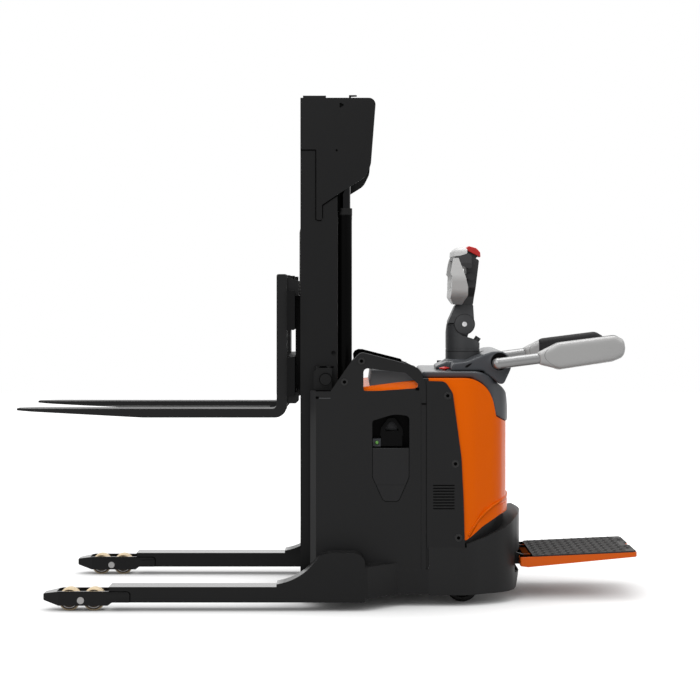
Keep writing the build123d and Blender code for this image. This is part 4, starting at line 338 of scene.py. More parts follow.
@dataclass(frozen=True)
class Finish:
    """A surface finish: tone, gloss, grain and the marks of use."""

    colour: Colour
    roughness: float = 0.45
    specular: float = 0.5
    grain: Grain = Grain()
    wear: Wear = Wear()
    metallic: float = 0.0
    coat: float = 0.0
    coat_roughness: float = 0.1
    mottle: float = 0.08
    mottle_scale: float = 5.0
    gloss_spread: float = 0.10

    def make(self, name: str) -> bpy.types.Material:
        """Build the material from the shared effects.

        Args:
            name: Name of the finish.

        Returns:
            The material.
        """
        material = bpy.data.materials.new(f"finish_{name}")
        material.use_nodes = True
        material.diffuse_color = (*self.colour, 1.0)
        graph = Graph(material.node_tree)
        place = graph.add("TexCoord", {})
        spot = {"Vector": place["Object"]}
        mottled = graph.add("Group", {
            **spot, "Color": (*self.colour, 1.0), "Amount": self.mottle, "Scale": self.mottle_scale,
            "Roughness": self.roughness, "Spread": self.gloss_spread}, node_tree=Effects.mottle())
        tone = self._pattern(graph, place, mottled["Color"])
        worn = graph.add("Group", {
            **spot, "Color": tone, "Rubbed": (*self.wear.rubbed, 1.0), "Amount": self.wear.amount,
            "Width": self.wear.width * MM}, node_tree=Effects.rub())
        dusty = graph.add("Group", {**spot, "Color": worn["Color"], "Amount": self.wear.dust},
                          node_tree=Effects.dust())
        relief = graph.add("Group", {**spot, "Scale": self.grain.scale, "Cells": self.grain.cells},
                           node_tree=Effects.grain())
        bump = graph.add("Bump", {"Distance": self.grain.depth * MM, "Height": relief["Height"]})
        graph.feed(graph.shader, {
            "Base Color": dusty["Color"], "Roughness": mottled["Roughness"], "Normal": bump["Normal"],
            "Metallic": self.metallic, "Coat Weight": self.coat, "Coat Roughness": self.coat_roughness,
            "Specular IOR Level": self.specular})
        return material

    def _pattern(self, graph: Graph, place: Outputs, tone: Socket) -> Socket:
        """Draw what a patterned finish adds to its tone; a plain finish adds nothing.

        Args:
            graph: The material's graph.
            place: The kinds of coordinates.
            tone: The mottled tone.

        Returns:
            The tone with the pattern on it.
        """
        return tone


@dataclass(frozen=True)
class LinkedChain(Finish):
    """Leaf chain whose link plates follow each other up the strand, darker in the gaps between them."""

    pitch: float = 0.0127
    gap: Pair = (0.35, 0.1)     # part of the wave that is gap
    oil: Colour = (0.012, 0.011, 0.010)

    def _pattern(self, graph: Graph, place: Outputs, tone: Socket) -> Socket:
        """Darken the gaps between the link plates."""
        wave = graph.add("TexWave", {"Vector": place["Object"], "Scale": math.pi / self.pitch / 10.0},
                         bands_direction="Z")["Fac"]
        return graph.mix(graph.ramp(wave, *self.gap), tone, (*self.oil, 1.0))


@dataclass(frozen=True)
class ShadeAndToneBox(Finish):
    """Finish that takes a second tone inside a box of the truck's frame: painted shade behind the hood's vents
    and in the pocket's deep upper part, and a lighter band at the lift barrels' gland.
    """

    second: Colour = (0.004, 0.004, 0.004)
    low: Point = (-9.0, -9.0, -9.0)
    high: Point = (9.0, 9.0, 9.0)
    hollow: bool = False        # whether the second tone also swallows reflections, so that its painted shade reads as a deep gap

    def _pattern(self, graph: Graph, place: Outputs, tone: Socket) -> Socket:
        """Lay the second tone over the part that the box marks.

        Args:
            graph: The material's graph.
            place: The kinds of coordinates.
            tone: The mottled tone.

        Returns:
            The two tones.
        """
        low, high = Vector(self.low), Vector(self.high)
        offset = graph.vector("SUBTRACT", place["Object"], (low + high) / 2)
        share = graph.axes(graph.vector("ABSOLUTE", graph.vector("DIVIDE", offset, (high - low) / 2)))
        most = graph.maths("MAXIMUM", graph.maths("MAXIMUM", share["X"], share["Y"]), share["Z"])
        mask = graph.maths("LESS_THAN", most, 1.0)
        if self.hollow:
            graph.feed(graph.shader, {"Metallic": mask})
        return graph.mix(mask, tone, (*self.second, 1.0))


@dataclass(frozen=True)
class SideShadedTyre(Finish):
    """Cast tyre whose flat side faces carry painted shade, darker than its tread."""

    # painted shade of the tyre's side faces
    face: Colour = (0.045, 0.026, 0.013)
    turned: Pair = (0.82, 0.92)     # share of the normal along the axle over which the face begins

    def _pattern(self, graph: Graph, place: Outputs, tone: Socket) -> Socket:
        """Paint shade on the faces that look along the axle."""
        along = graph.maths("ABSOLUTE", graph.axes(place["Normal"])["Y"])
        return graph.mix(graph.ramp(along, *self.turned), tone, (*self.face, 1.0))


@dataclass(frozen=True)
class GlossTop(Finish):
    """Coat that is polished where a face looks up."""

    top_coat: float = 1.0
    top_from: float = 0.965     # upward share of the normal at which the polish starts
    top_full: float = 0.995

    def _pattern(self, graph: Graph, place: Outputs, tone: Socket) -> Socket:
        """Raise the coat on the faces that look up.

        Args:
            graph: The material's graph.
            place: The kinds of coordinates.
            tone: The mottled tone.

        Returns:
            The tone, unchanged.
        """
        up = graph.axes(place["Normal"])["Z"]
        polish = graph.ramp(up, self.top_from, self.top_full, self.coat, self.top_coat)
        graph.feed(graph.shader, {"Coat Weight": polish})
        return tone


@dataclass(frozen=True)
class SeamedShell(Finish):
    """Moulded shell with a parting seam that runs in a bow round its front end."""

    seam_x: float = 0.0         # place of the seam along the truck at its height
    seam_z: float = 0.0
    lean: float = -0.46
    bow: float = 23.8           # per metre
    width: float = 0.0011
    core: float = 0.4           # part of the width that is fully dark
    seam: Colour = (0.045, 0.045, 0.045)

    def _pattern(self, graph: Graph, place: Outputs, tone: Socket) -> Socket:
        """Darken the seam.

        Args:
            graph: The material's graph.
            place: The kinds of coordinates.
            tone: The mottled tone.

        Returns:
            The tone with the seam in it.
        """
        axes = graph.axes(place["Object"])
        rise = graph.maths("SUBTRACT", axes["Z"], self.seam_z)
        slope = graph.maths("MULTIPLY_ADD", rise, self.bow, self.lean)
        line = graph.maths("MULTIPLY_ADD", slope, rise, self.seam_x)
        away = graph.maths("ABSOLUTE", graph.maths("SUBTRACT", axes["X"], line))
        return graph.mix(graph.ramp(away, self.width, self.width * self.core), tone, (*self.seam, 1.0))


class Look(Enum):
    """All finishes of the truck: tone, roughness, specular level, grain, wear and what else differs."""

    BLACK_COAT = Finish((0.0085, 0.0085, 0.0088), 0.46, 0.14, Grain(520.0, 0.15),
                        Wear(grey(0.045), 0.4, 0.02))
    MAST_COAT = Finish((0.0065, 0.0065, 0.0067), 0.42, 0.11, Grain(520.0, 0.15), Wear(grey(0.04), 0.4, 0.02))
    # the barrels' near-black is painted shade from the mast; from 1.487 m up, at the gland, a lighter second
    # tone
    SHADED_BARREL_BLACK = ShadeAndToneBox(grey(0.0012), 0.30, 0.03, Grain(420.0, 0.1, 0.03), Wear(amount=0.1, dust=0.01),
                           second=grey(0.016), low=(-9.0, -9.0, 1.487))
    LEG_COAT = GlossTop((0.0066, 0.0066, 0.0068), 0.26, 0.06, Grain(420.0, 0.1, 0.005),
                        Wear(grey(0.045), 0.4, 0.01), coat=0.12, coat_roughness=0.05, gloss_spread=0.05)
    # darker copy of the black coat: painted shade on the carriage and the inner mast
    SHADED_CARRIAGE_COAT = Finish((0.0050, 0.0050, 0.0052), 0.42, 0.06, Grain(520.0, 0.15),
                           Wear(grey(0.03), 0.4, 0.01))
    # flat black that swallows light: painted shade in gaps, grooves, sockets and hollows; also the bow strip's
    # black rubber and the turret's seam
    VOID_BLACK = Finish(grey(0.0012), 0.9, 0.0, Grain(depth=0.02), UNTOUCHED)
    SHADED_ORANGE = Finish((0.075, 0.016, 0.003), 0.9, 0.0, Grain(depth=0.02), UNTOUCHED)
    # mid grey of the bow's rim bead: a painted highlight
    HIGHLIGHT_GREY = Finish((0.075, 0.075, 0.078), 0.30, 0.3, Grain(400.0, 0.1), Wear(grey(0.12), 0.2, 0.01))
    FORK_COAT = Finish((0.0054, 0.0054, 0.0056), 0.36, 0.16, Grain(420.0, 0.15),
                       Wear((0.14, 0.135, 0.13), 0.5, 0.02, 3.0))
    # the black box behind the side panels' vents is painted shade that also swallows reflections
    ORANGE_GLOSS = ShadeAndToneBox((0.74, 0.112, 0.0), 0.24, 0.03, Grain(260.0, 0.0, 0.02),
                           Wear((0.80, 0.30, 0.08), dust=0.01), coat=0.04, coat_roughness=0.05, mottle=0.03,
                           second=grey(0.001), hollow=True,
                           low=tuple(at(490.0, -600.0, 350.0)), high=tuple(at(600.0, 600.0, 485.0)))
    COVER_ORANGE = Finish((0.56, 0.086, 0.0), 0.24, 0.03, Grain(60.0, 0.0, 0.004),
                          Wear((0.80, 0.30, 0.08), dust=0.01), coat=0.02, coat_roughness=0.05, mottle=0.03,
                          gloss_spread=0.02)
    ORANGE_PAINT = Finish((0.64, 0.100, 0.004), 0.36, 0.15, Grain(420.0, 0.1),
                          Wear((0.36, 0.30, 0.26), 0.3, 0.02), coat=0.05, mottle=0.05)
    CONSOLE_GREY = GlossTop((0.044, 0.048, 0.054), 0.40, 0.2, Grain(700.0, 0.7, 0.03),
                            Wear((0.10, 0.10, 0.105), 0.2, 0.02), coat_roughness=0.12, top_coat=0.45,
                            top_from=0.4)
    LID_GREY = Finish((0.054, 0.055, 0.058), 0.44, 0.3, Grain(700.0, 0.7, 0.06),
                      Wear((0.16, 0.16, 0.17), dust=0.03))
    DARK_MOULDING = Finish((0.0085, 0.0085, 0.0088), 0.42, 0.16, Grain(620.0, 0.7, 0.05),
                           Wear(grey(0.06), dust=0.03))
    HEAD_GREY = Finish((0.034, 0.035, 0.037), 0.44, 0.3, Grain(800.0, 0.7, 0.05),
                       Wear((0.12, 0.12, 0.125), dust=0.03))
    HEAD_DARK = Finish((0.017, 0.017, 0.018), 0.40, 0.3, Grain(800.0, 0.7, 0.05),
                       Wear(grey(0.08), dust=0.03))
    GRIP_GREY = Finish((0.44, 0.44, 0.435), 0.44, 0.35, Grain(820.0, 0.7, 0.05), Wear((0.5, 0.5, 0.49), 0.2),
                       mottle=0.04)
    PAD_GREY = SeamedShell((0.325, 0.323, 0.32), 0.34, 0.4, Grain(760.0, 0.6), Wear(grey(0.5), 0.2, 0.02),
                           coat=0.10, mottle=0.03, seam_x=at(935.6, 0.0, 0.0).x, seam_z=0.9387)
    FOAM_BLACK = Finish((0.0085, 0.0085, 0.009), 0.66, 0.25, Grain(520.0, 0.8, 0.12),
                        Wear(amount=0.1, dust=0.02))
    RED_CAP = Finish((0.42, 0.012, 0.010), 0.32, 0.3, Grain(depth=0.02), Wear((0.55, 0.12, 0.10), 0.3, 0.02),
                     coat=0.12, mottle=0.05)
    BRIGHT_STEEL = Finish((0.50, 0.50, 0.505), 0.30, 0.5, Grain(300.0, 0.0, 0.03), Wear(grey(0.75), 0.4),
                          metallic=1.0)
    PIN_STEEL = Finish((0.30, 0.295, 0.29), 0.34, 0.5, Grain(260.0, 0.0, 0.02), Wear(grey(0.5), 0.4),
                       metallic=0.9)
    SATIN_TUBE = Finish(grey(0.20), 0.36, 0.5, Grain(340.0, 0.0, 0.02), Wear(grey(0.6), 0.2, 0.01),
                        metallic=0.85, mottle=0.04)
    DARK_STEEL = Finish((0.030, 0.030, 0.031), 0.42, 0.25, Grain(300.0, 0.1), Wear(grey(0.16), 0.4, 0.02),
                        metallic=0.6)
    SCREW_BLACK = Finish(grey(0.011), 0.30, 0.25, Grain(400.0, 0.1), Wear(grey(0.10), 0.4, 0.01))
    CHAIN_STEEL = LinkedChain((0.10, 0.098, 0.095), 0.38, wear=Wear((0.30, 0.29, 0.28), 0.4), metallic=0.9)
    # chrome kept near black: a painted dark reflection of the surroundings that the rods mirror
    CHROME_ROD = Finish((0.012, 0.012, 0.0125), 0.08, 0.5, Grain(200.0, 0.0, 0.004), UNTOUCHED, metallic=1.0,
                        mottle=0.03, gloss_spread=0.05)
    # cream tread; the side faces get painted shade
    CREAM_TYRE = SideShadedTyre((0.60, 0.47, 0.29), 0.42, 0.35, Grain(380.0, 0.2), Wear((0.55, 0.48, 0.36), 0.3),
                           mottle=0.07)
    DARK_TYRE = Finish((0.012, 0.0115, 0.011), 0.6, 0.2, Grain(420.0, 0.3, 0.1), Wear(grey(0.05), 0.4, 0.06))
    DRIVE_TYRE = Finish((0.030, 0.012, 0.007), 0.5, 0.25, Grain(420.0, 0.3, 0.08),
                        Wear((0.07, 0.035, 0.02), 0.4))
    MAT_RUBBER = Finish(grey(0.038), 0.62, 0.2, Grain(600.0, 0.6, 0.1), Wear(grey(0.10), 0.3, 0.06))
    # darker copy of the mat rubber: painted shade on the ribs, also used for the mat's edging
    SHADED_RIB_RUBBER = Finish(grey(0.016), 0.6, 0.15, Grain(600.0, 0.6, 0.08), Wear(grey(0.05), 0.3, 0.03))
    PLUG_BLACK = Finish((0.0016, 0.0016, 0.0017), 0.36, 0.05, Grain(cells=0.6), Wear(grey(0.05), dust=0.01))
    # black above 0.6 m is painted shade in the pocket's deep upper opening
    POCKET_MOULDING = ShadeAndToneBox((0.0095, 0.0095, 0.010), 0.48, 0.16, Grain(700.0, 0.6),
                              Wear(grey(0.05), 0.15, 0.01), hollow=True, low=(-9.0, -9.0, 0.600),
                              high=(9.0, 9.0, 3.0))
    LAMP_GREEN = Finish((0.075, 0.30, 0.012), 0.2, 0.5, Grain(depth=0.005), UNTOUCHED, coat=0.4)
    CELL_GREY = Finish((0.07, 0.07, 0.074), 0.5, 0.3, Grain(500.0, 0.5))

    def material(self) -> bpy.types.Material:
        """Make the finish's material, once.

        Returns:
            The material.
        """
        if self.name not in PAINTS:
            PAINTS[self.name] = self.value.make(self.name.lower())
        return PAINTS[self.name]


def dress(look: Look, *nodes: str) -> None:
    """Give CAD nodes a finish.

    Args:
        look: The finish.
        nodes: Names of the CAD nodes.
    """
    for name in nodes:
        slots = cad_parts[name].data.materials
        slots.clear()
        slots.append(look.material())


# Modelling steps


class Bench:
    """Edit-mode modelling steps that the fittings share; lengths are in millimetres, places in the frame."""

    @staticmethod
    def take(*pieces: Piece) -> None:
        """Select the given pieces alone and make the first of them active.

        Args:
            pieces: The pieces; none deselects everything.
        """
        bpy.ops.object.select_all(action="DESELECT")
        for piece in pieces:
            piece.select_set(True)
        if pieces:
            bpy.context.view_layer.objects.active = pieces[0]

    @staticmethod
    def _settle(name: str) -> Piece:
        """Name the active object and put its place into its mesh.

        Args:
            name: Name of the piece.

        Returns:
            The piece.
        """
        piece = bpy.context.object
        piece.name = name
        bpy.ops.object.transform_apply(location=True, rotation=True, scale=True)
        return piece

    @staticmethod
    def _modify(piece: Piece, kind: str, **settings: object) -> None:
        """Apply a modifier to a piece, which is then the only one selected.

        Args:
            piece: The piece.
            kind: Type of the modifier.
            settings: The modifier's properties.
        """
        Bench.take(piece)
        modifier = piece.modifiers.new(kind.lower(), kind)
        for label, value in settings.items():
            setattr(modifier, label, value)
        bpy.ops.object.modifier_apply(modifier=modifier.name)

    @classmethod
    def block(cls, name: str, first: Vector, second: Vector) -> Piece:
        """Add a box between two opposite corners.

        Args:
            name: Name of the piece.
            first: One corner.
            second: The corner opposite to it.

        Returns:
            The piece.
        """
        cls.take()
        sides = Vector([abs(b - a) for a, b in zip(first, second)])
        bpy.ops.mesh.primitive_cube_add(size=1.0, location=(first + second) / 2, scale=sides)
        return cls._settle(name)

    @classmethod
    def drum(cls, name: str, centre: Vector, radius: float, depth: float, sides: int = 40) -> Piece:
        """Add a round piece whose axis lies across the truck.

        Args:
            name: Name of the piece.
            centre: Middle of the piece.
            radius: Its radius.
            depth: Its length across the truck.
            sides: Number of sides.

        Returns:
            The piece.
        """
        cls.take()
        bpy.ops.mesh.primitive_cylinder_add(vertices=sides, radius=radius * MM, depth=depth * MM,
                                            location=centre, rotation=ACROSS)
        return cls._settle(name)

    @classmethod
    def ring(cls, name: str, centre: Vector, radius: float, thickness: float) -> Piece:
        """Add a round ring whose axis lies across the truck.

        Args:
            name: Name of the piece.
            centre: Middle of the ring.
            radius: Radius of its middle line.
            thickness: Radius of its section.

        Returns:
            The piece.
        """
        cls.take()
        bpy.ops.mesh.primitive_torus_add(major_radius=radius * MM, minor_radius=thickness * MM,
                                         major_segments=48, minor_segments=10, location=centre,
                                         rotation=ACROSS)
        piece = cls._settle(name)
        bpy.ops.object.shade_smooth()
        return piece

    @classmethod
    def lathe(cls, name: str, axis_x: float, profile: Outline, sides: int = 64) -> Piece:
        """Turn a closed profile about an upright axis in the truck's middle plane.

        Args:
            name: Name of the piece.
            axis_x: Place of the axis behind the mast front.
            profile: Radius and height of each corner.
            sides: Number of sides.

        Returns:
            The piece.
        """
        cls.take()
        radius, height = profile[-1]
        bpy.ops.mesh.primitive_circle_add(vertices=sides, radius=radius * MM,
                                          location=at(axis_x, 0.0, height))
        piece = cls._settle(name)
        bpy.ops.object.mode_set(mode="EDIT")
        bpy.ops.mesh.select_mode(type="EDGE")
        bpy.ops.mesh.select_all(action="SELECT")
        for wide, high in profile:
            rise = (0.0, 0.0, (high - height) * MM)
            bpy.ops.mesh.extrude_edges_move(TRANSFORM_OT_translate={"value": rise})
            bpy.ops.transform.resize(value=(wide / radius, wide / radius, 1.0),
                                     center_override=at(axis_x, 0.0, high))
            radius, height = wide, high
        bpy.ops.mesh.select_all(action="SELECT")
        bpy.ops.mesh.remove_doubles(threshold=MERGE)
        bpy.ops.mesh.normals_make_consistent(inside=False)
        cls.close()
        bpy.ops.object.shade_smooth_by_angle(angle=CREASE)
        return piece

    @classmethod
    def cast(cls, node: str, name: str) -> Piece:
        """Copy a CAD node's mesh, merge its corners and stay in edit mode with all of it selected.

        Args:
            node: The CAD node.
            name: Name of the copy.

        Returns:
            The copy.
        """
        piece = bpy.data.objects.new(name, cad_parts[node].data.copy())
        bpy.context.scene.collection.objects.link(piece)
        cls.pick(piece)
        bpy.ops.mesh.remove_doubles(threshold=MERGE)
        bpy.ops.mesh.select_all(action="SELECT")
        return piece

    @classmethod
    def crown(cls, node: str, voxel: float, steps: int) -> Piece:
        """Make a shell with rounded edges from a plain solid.

        Args:
            node: The CAD node.
            voxel: Cell size of the shell's mesh.
            steps: Number of smoothing steps.

        Returns:
            The shell.
        """
        shell = cls.cast(node, f"{node}_shell")
        cls.close()
        cls._modify(shell, "REMESH", mode="VOXEL", voxel_size=voxel * MM)
        cls._modify(shell, "SMOOTH", factor=0.5, iterations=steps)
        bpy.ops.object.shade_smooth()
        return shell

    @classmethod
    def plate(cls, name: str, outline: Outline, y0: float, y1: float) -> Piece:
        """Add a plate that stands along the truck.

        Args:
            name: Name of the piece.
            outline: Corners of its side view.
            y0: First face across the truck.
            y1: Second face.

        Returns:
            The piece.
        """
        cls.take()
        bpy.ops.mesh.primitive_circle_add(vertices=len(outline), fill_type="NGON", location=(0.0, 0.0, 0.0))
        piece = cls._settle(name)
        for vertex, (x, z) in zip(piece.data.vertices, outline):
            vertex.co = at(x, y0, z)
        cls.pick(piece)
        bpy.ops.mesh.extrude_region_move(TRANSFORM_OT_translate={"value": (0.0, (y1 - y0) * MM, 0.0)})
        bpy.ops.mesh.select_all(action="SELECT")
        bpy.ops.mesh.normals_make_consistent(inside=False)
        cls.close()
        return piece

    @classmethod
    def plates(cls, name: str, outlines: Sequence[Outline], spans: Sequence[Pair]) -> Piece:
        """Add a joined set of plates, each outline over each span.

        Args:
            name: Name of the piece.
            outlines: Corners of the side views.
            spans: Places of both faces across the truck.

        Returns:
            The piece.
        """
        return cls.join(name, [cls.plate(name, outline, *span) for outline in outlines for span in spans])

    @classmethod
    def bead(cls, name: str, path: Sequence[Vector], radius: float) -> Piece:
        """Draw a round bead along a smooth line through the given points.

        Args:
            name: Name of the piece.
            path: Points of its middle line.
            radius: Its radius.

        Returns:
            The piece.
        """
        cls.take()
        bpy.ops.curve.primitive_bezier_curve_add(location=(0.0, 0.0, 0.0))
        piece = bpy.context.object
        piece.name = name
        line = piece.data.splines[0]
        line.bezier_points.add(len(path) - 2)
        for point, place in zip(line.bezier_points, path):
            point.co = place
            point.handle_left_type = point.handle_right_type = "AUTO"
        piece.data.resolution_u = 8
        piece.data.bevel_depth = radius * MM
        piece.data.bevel_resolution = 4
        piece.data.use_fill_caps = True
        bpy.ops.object.convert(target="MESH")
        bpy.ops.object.shade_smooth_by_angle(angle=CREASE)
        return bpy.context.object

    @classmethod
    def pick(cls, piece: Piece, test: Test = lambda centre, normal: True) -> None:
        """Open edit mode with the faces selected that pass a test.

        Args:
            piece: The piece to edit.
            test: Takes a face's centre and normal and says whether it is meant.
        """
        cls.take(piece)
        bpy.ops.object.mode_set(mode="EDIT")
        bpy.ops.mesh.select_mode(type="FACE")
        bpy.ops.mesh.select_all(action="DESELECT")
        bpy.ops.object.mode_set(mode="OBJECT")
        for face in piece.data.polygons:
            face.select = test(face.center, face.normal)
        bpy.ops.object.mode_set(mode="EDIT")

    @staticmethod
    def close() -> None:
        """Leave edit mode."""
        bpy.ops.object.mode_set(mode="OBJECT")

    @classmethod
    def sink(cls, piece: Piece, test: Test, rim: float, depth: float) -> None:
        """Inset the picked faces and push them in, or out where the depth is negative.

        Args:
            piece: The piece to edit.
            test: Picks the faces.
            rim: Width of the rim that stays.
            depth: How far the faces go in.
        """
        cls.pick(piece, test)
        bpy.ops.mesh.inset(thickness=rim * MM, depth=-depth * MM)
        cls.close()

    @classmethod
    def soften(cls, piece: Piece, width: float, steps: int = 2) -> None:
        """Round the sharp edges of a piece.

        Args:
            piece: The piece.
            width: Width of the rounding.
            steps: Number of segments.
        """
        cls._modify(piece, "BEVEL", width=width * MM, segments=steps, limit_method="ANGLE")
        bpy.ops.object.shade_smooth_by_angle(angle=CREASE)

    @classmethod
    def cut(cls, piece: Piece, cutter: Piece) -> None:
        """Cut one piece out of another.

        Args:
            piece: The piece that stays.
            cutter: The piece that is taken away.
        """
        cls._modify(piece, "BOOLEAN", operation="DIFFERENCE", object=cutter)
        cls.scrap(cutter)

    @classmethod
    def join(cls, name: str, pieces: Sequence[Piece]) -> Piece:
        """Join copies into one piece and put its place into its mesh.

        Args:
            name: Name of the joined piece.
            pieces: The copies.

        Returns:
            The joined piece.
        """
        cls.take(*pieces)
        bpy.ops.object.join()
        return cls._settle(name)

    @staticmethod
    def copy(piece: Piece, place: Vector, turn: float, tilt: float) -> Piece:
        """Copy a piece modelled at the origin to a place.

        Args:
            piece: The piece to copy.
            place: Where the copy goes.
            turn: Turn about the upright axis.
            tilt: Tilt about the cross axis.

        Returns:
            The copy, with its own mesh.
        """
        twin = piece.copy()
        twin.data = piece.data.copy()
        bpy.context.scene.collection.objects.link(twin)
        twin.location = place
        twin.rotation_euler = (0.0, tilt, turn)
        return twin

    @staticmethod
    def scrap(piece: Piece) -> None:
        """Take away a piece that was only copied or cut out of another."""
        bpy.data.objects.remove(piece, do_unlink=True)

    @staticmethod
    def fit(piece: Piece, look: Look, body: str, slot: str) -> None:
        """Give a finished piece its finish and the body that it moves with.

        Args:
            piece: The piece.
            look: Its finish.
            body: Name of the body.
            slot: The record's material slot; not used.
        """
        piece.data.materials.clear()
        piece.data.materials.append(look.material())
        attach(piece, body)
        LOG.info("fitted %s", piece.name)


# Studio


@dataclass
class Studio:
    """Pale floor, soft lamps, white surroundings and the camera of the photograph."""

    camera: Point = (190.0, -7400.0, 1198.0)    # millimetres, from the mast front
    focal_px: float = 1854.0
    image_px: float = 700.0
    horizon_px: float = 290.0
    sensor: float = 36.0
    floor_half: float = 14.0
    floor_grey: float = 0.35
    floor_roughness: float = 0.7
    floor_specular: float = 0.1
    floor_glow: float = 0.74        # what the open floor near the truck adds to its own light
    shade_reach: float = 0.5        # metres over which ambient occlusion paints the truck's shadow into the floor's glow
    glow_reach: Pair = (1.3, 2.6)   # metres from the truck over which the floor rises to white
    world_light: float = 0.54
    lamps: tuple[tuple[str, Point, Point, float, float], ...] = (       # name, place, target, side and watts
        ("key_softbox", (-1.6, -4.2, 4.6), (0.1, 0.0, 0.8), 3.4, 150.0),
        ("front_softbox", (-4.6, -1.8, 2.8), (0.0, 0.0, 0.9), 2.6, 45.0),
        ("rear_softbox", (4.2, -2.4, 3.4), (0.5, 0.0, 0.7), 2.6, 60.0),
        ("top_softbox", (0.3, 0.6, 5.2), (0.1, 0.0, 0.6), 3.6, 210.0))

    def build(self) -> None:
        """Set up floor, lamps, world, camera and view transform."""
        self._floor()
        self._world()
        for lamp in self.lamps:
            self._lamp(*lamp)
        self._camera()
        bpy.context.scene.view_settings.view_transform = "Standard"

    def _floor(self) -> None:
        """Lay the floor, which looks white, takes the lamps' shadow of the truck and has a shadow painted into
        its glow from ambient occlusion.
        """
        Bench.take()
        bpy.ops.mesh.primitive_plane_add(size=2 * self.floor_half, location=(0.0, 0.0, 0.0))
        floor = bpy.context.object
        floor.name = "studio_floor"
        material = bpy.data.materials.new("studio_floor")
        material.use_nodes = True
        graph = Graph(material.node_tree)
        path = graph.add("LightPath", {})
        away = graph.vector("LENGTH", graph.add("TexCoord", {})["Object"])
        rise = graph.ramp(away, *self.glow_reach, low=self.floor_glow, interpolation_type="SMOOTHSTEP")
        shade = graph.add("AmbientOcclusion", {"Distance": self.shade_reach}, samples=12)["AO"]
        seen = graph.maths("MAXIMUM", path["Is Camera Ray"], path["Is Glossy Ray"])
        graph.feed(graph.shader, {
            "Base Color": (*grey(self.floor_grey), 1.0), "Roughness": self.floor_roughness,
            "Specular IOR Level": self.floor_specular, "Emission Color": WHITE,
            "Emission Strength": graph.maths("MULTIPLY", seen, graph.maths("MULTIPLY", rise, shade))})
        floor.data.materials.append(material)

    def _world(self) -> None:
        """Make surroundings that look white and light the truck softly."""
        world = bpy.data.worlds.new("studio")
        bpy.context.scene.world = world
        world.use_nodes = True
        world.node_tree.nodes.clear()
        graph = Graph(world.node_tree)
        path = graph.add("LightPath", {})
        glossy = graph.maths("MAXIMUM", path["Is Camera Ray"], path["Is Glossy Ray"])
        seen = graph.maths("MAXIMUM", glossy, path["Is Transmission Ray"])
        soft, white = (graph.add("Background", {"Color": WHITE, "Strength": strength})[0]
                       for strength in (self.world_light, 1.0))
        mixed = graph.add("MixShader", {0: seen, 1: soft, 2: white})[0]
        graph.add("OutputWorld", {"Surface": mixed})

    @staticmethod
    def _lamp(name: str, place: Point, target: Point, size: float, power: float) -> None:
        """Hang a square softbox.

        Args:
            name: Name of the lamp.
            place: Where it hangs, in metres.
            target: Point that it faces.
            size: Side of its face in metres.
            power: Power in watts.
        """
        data = bpy.data.lights.new(name, "AREA")
        data.shape = "SQUARE"
        data.size = size
        data.energy = power
        lamp = bpy.data.objects.new(name, data)
        bpy.context.scene.collection.objects.link(lamp)
        lamp.location = place
        lamp.rotation_euler = (Vector(target) - Vector(place)).to_track_quat("-Z", "Y").to_euler()

    def _camera(self) -> None:
        """Put the camera level beside the truck, shifted down to the photograph's framing."""
        data = bpy.data.cameras.new("photo_camera")
        data.sensor_width = self.sensor
        data.sensor_fit = "HORIZONTAL"
        data.lens = self.focal_px / self.image_px * self.sensor
        data.shift_y = (self.horizon_px - self.image_px / 2) / self.image_px
        camera = bpy.data.objects.new("photo_camera", data)
        bpy.context.scene.collection.objects.link(camera)
        camera.location = at(*self.camera)
        camera.rotation_euler = ACROSS
        bpy.context.scene.camera = camera


# Sub-assemblies


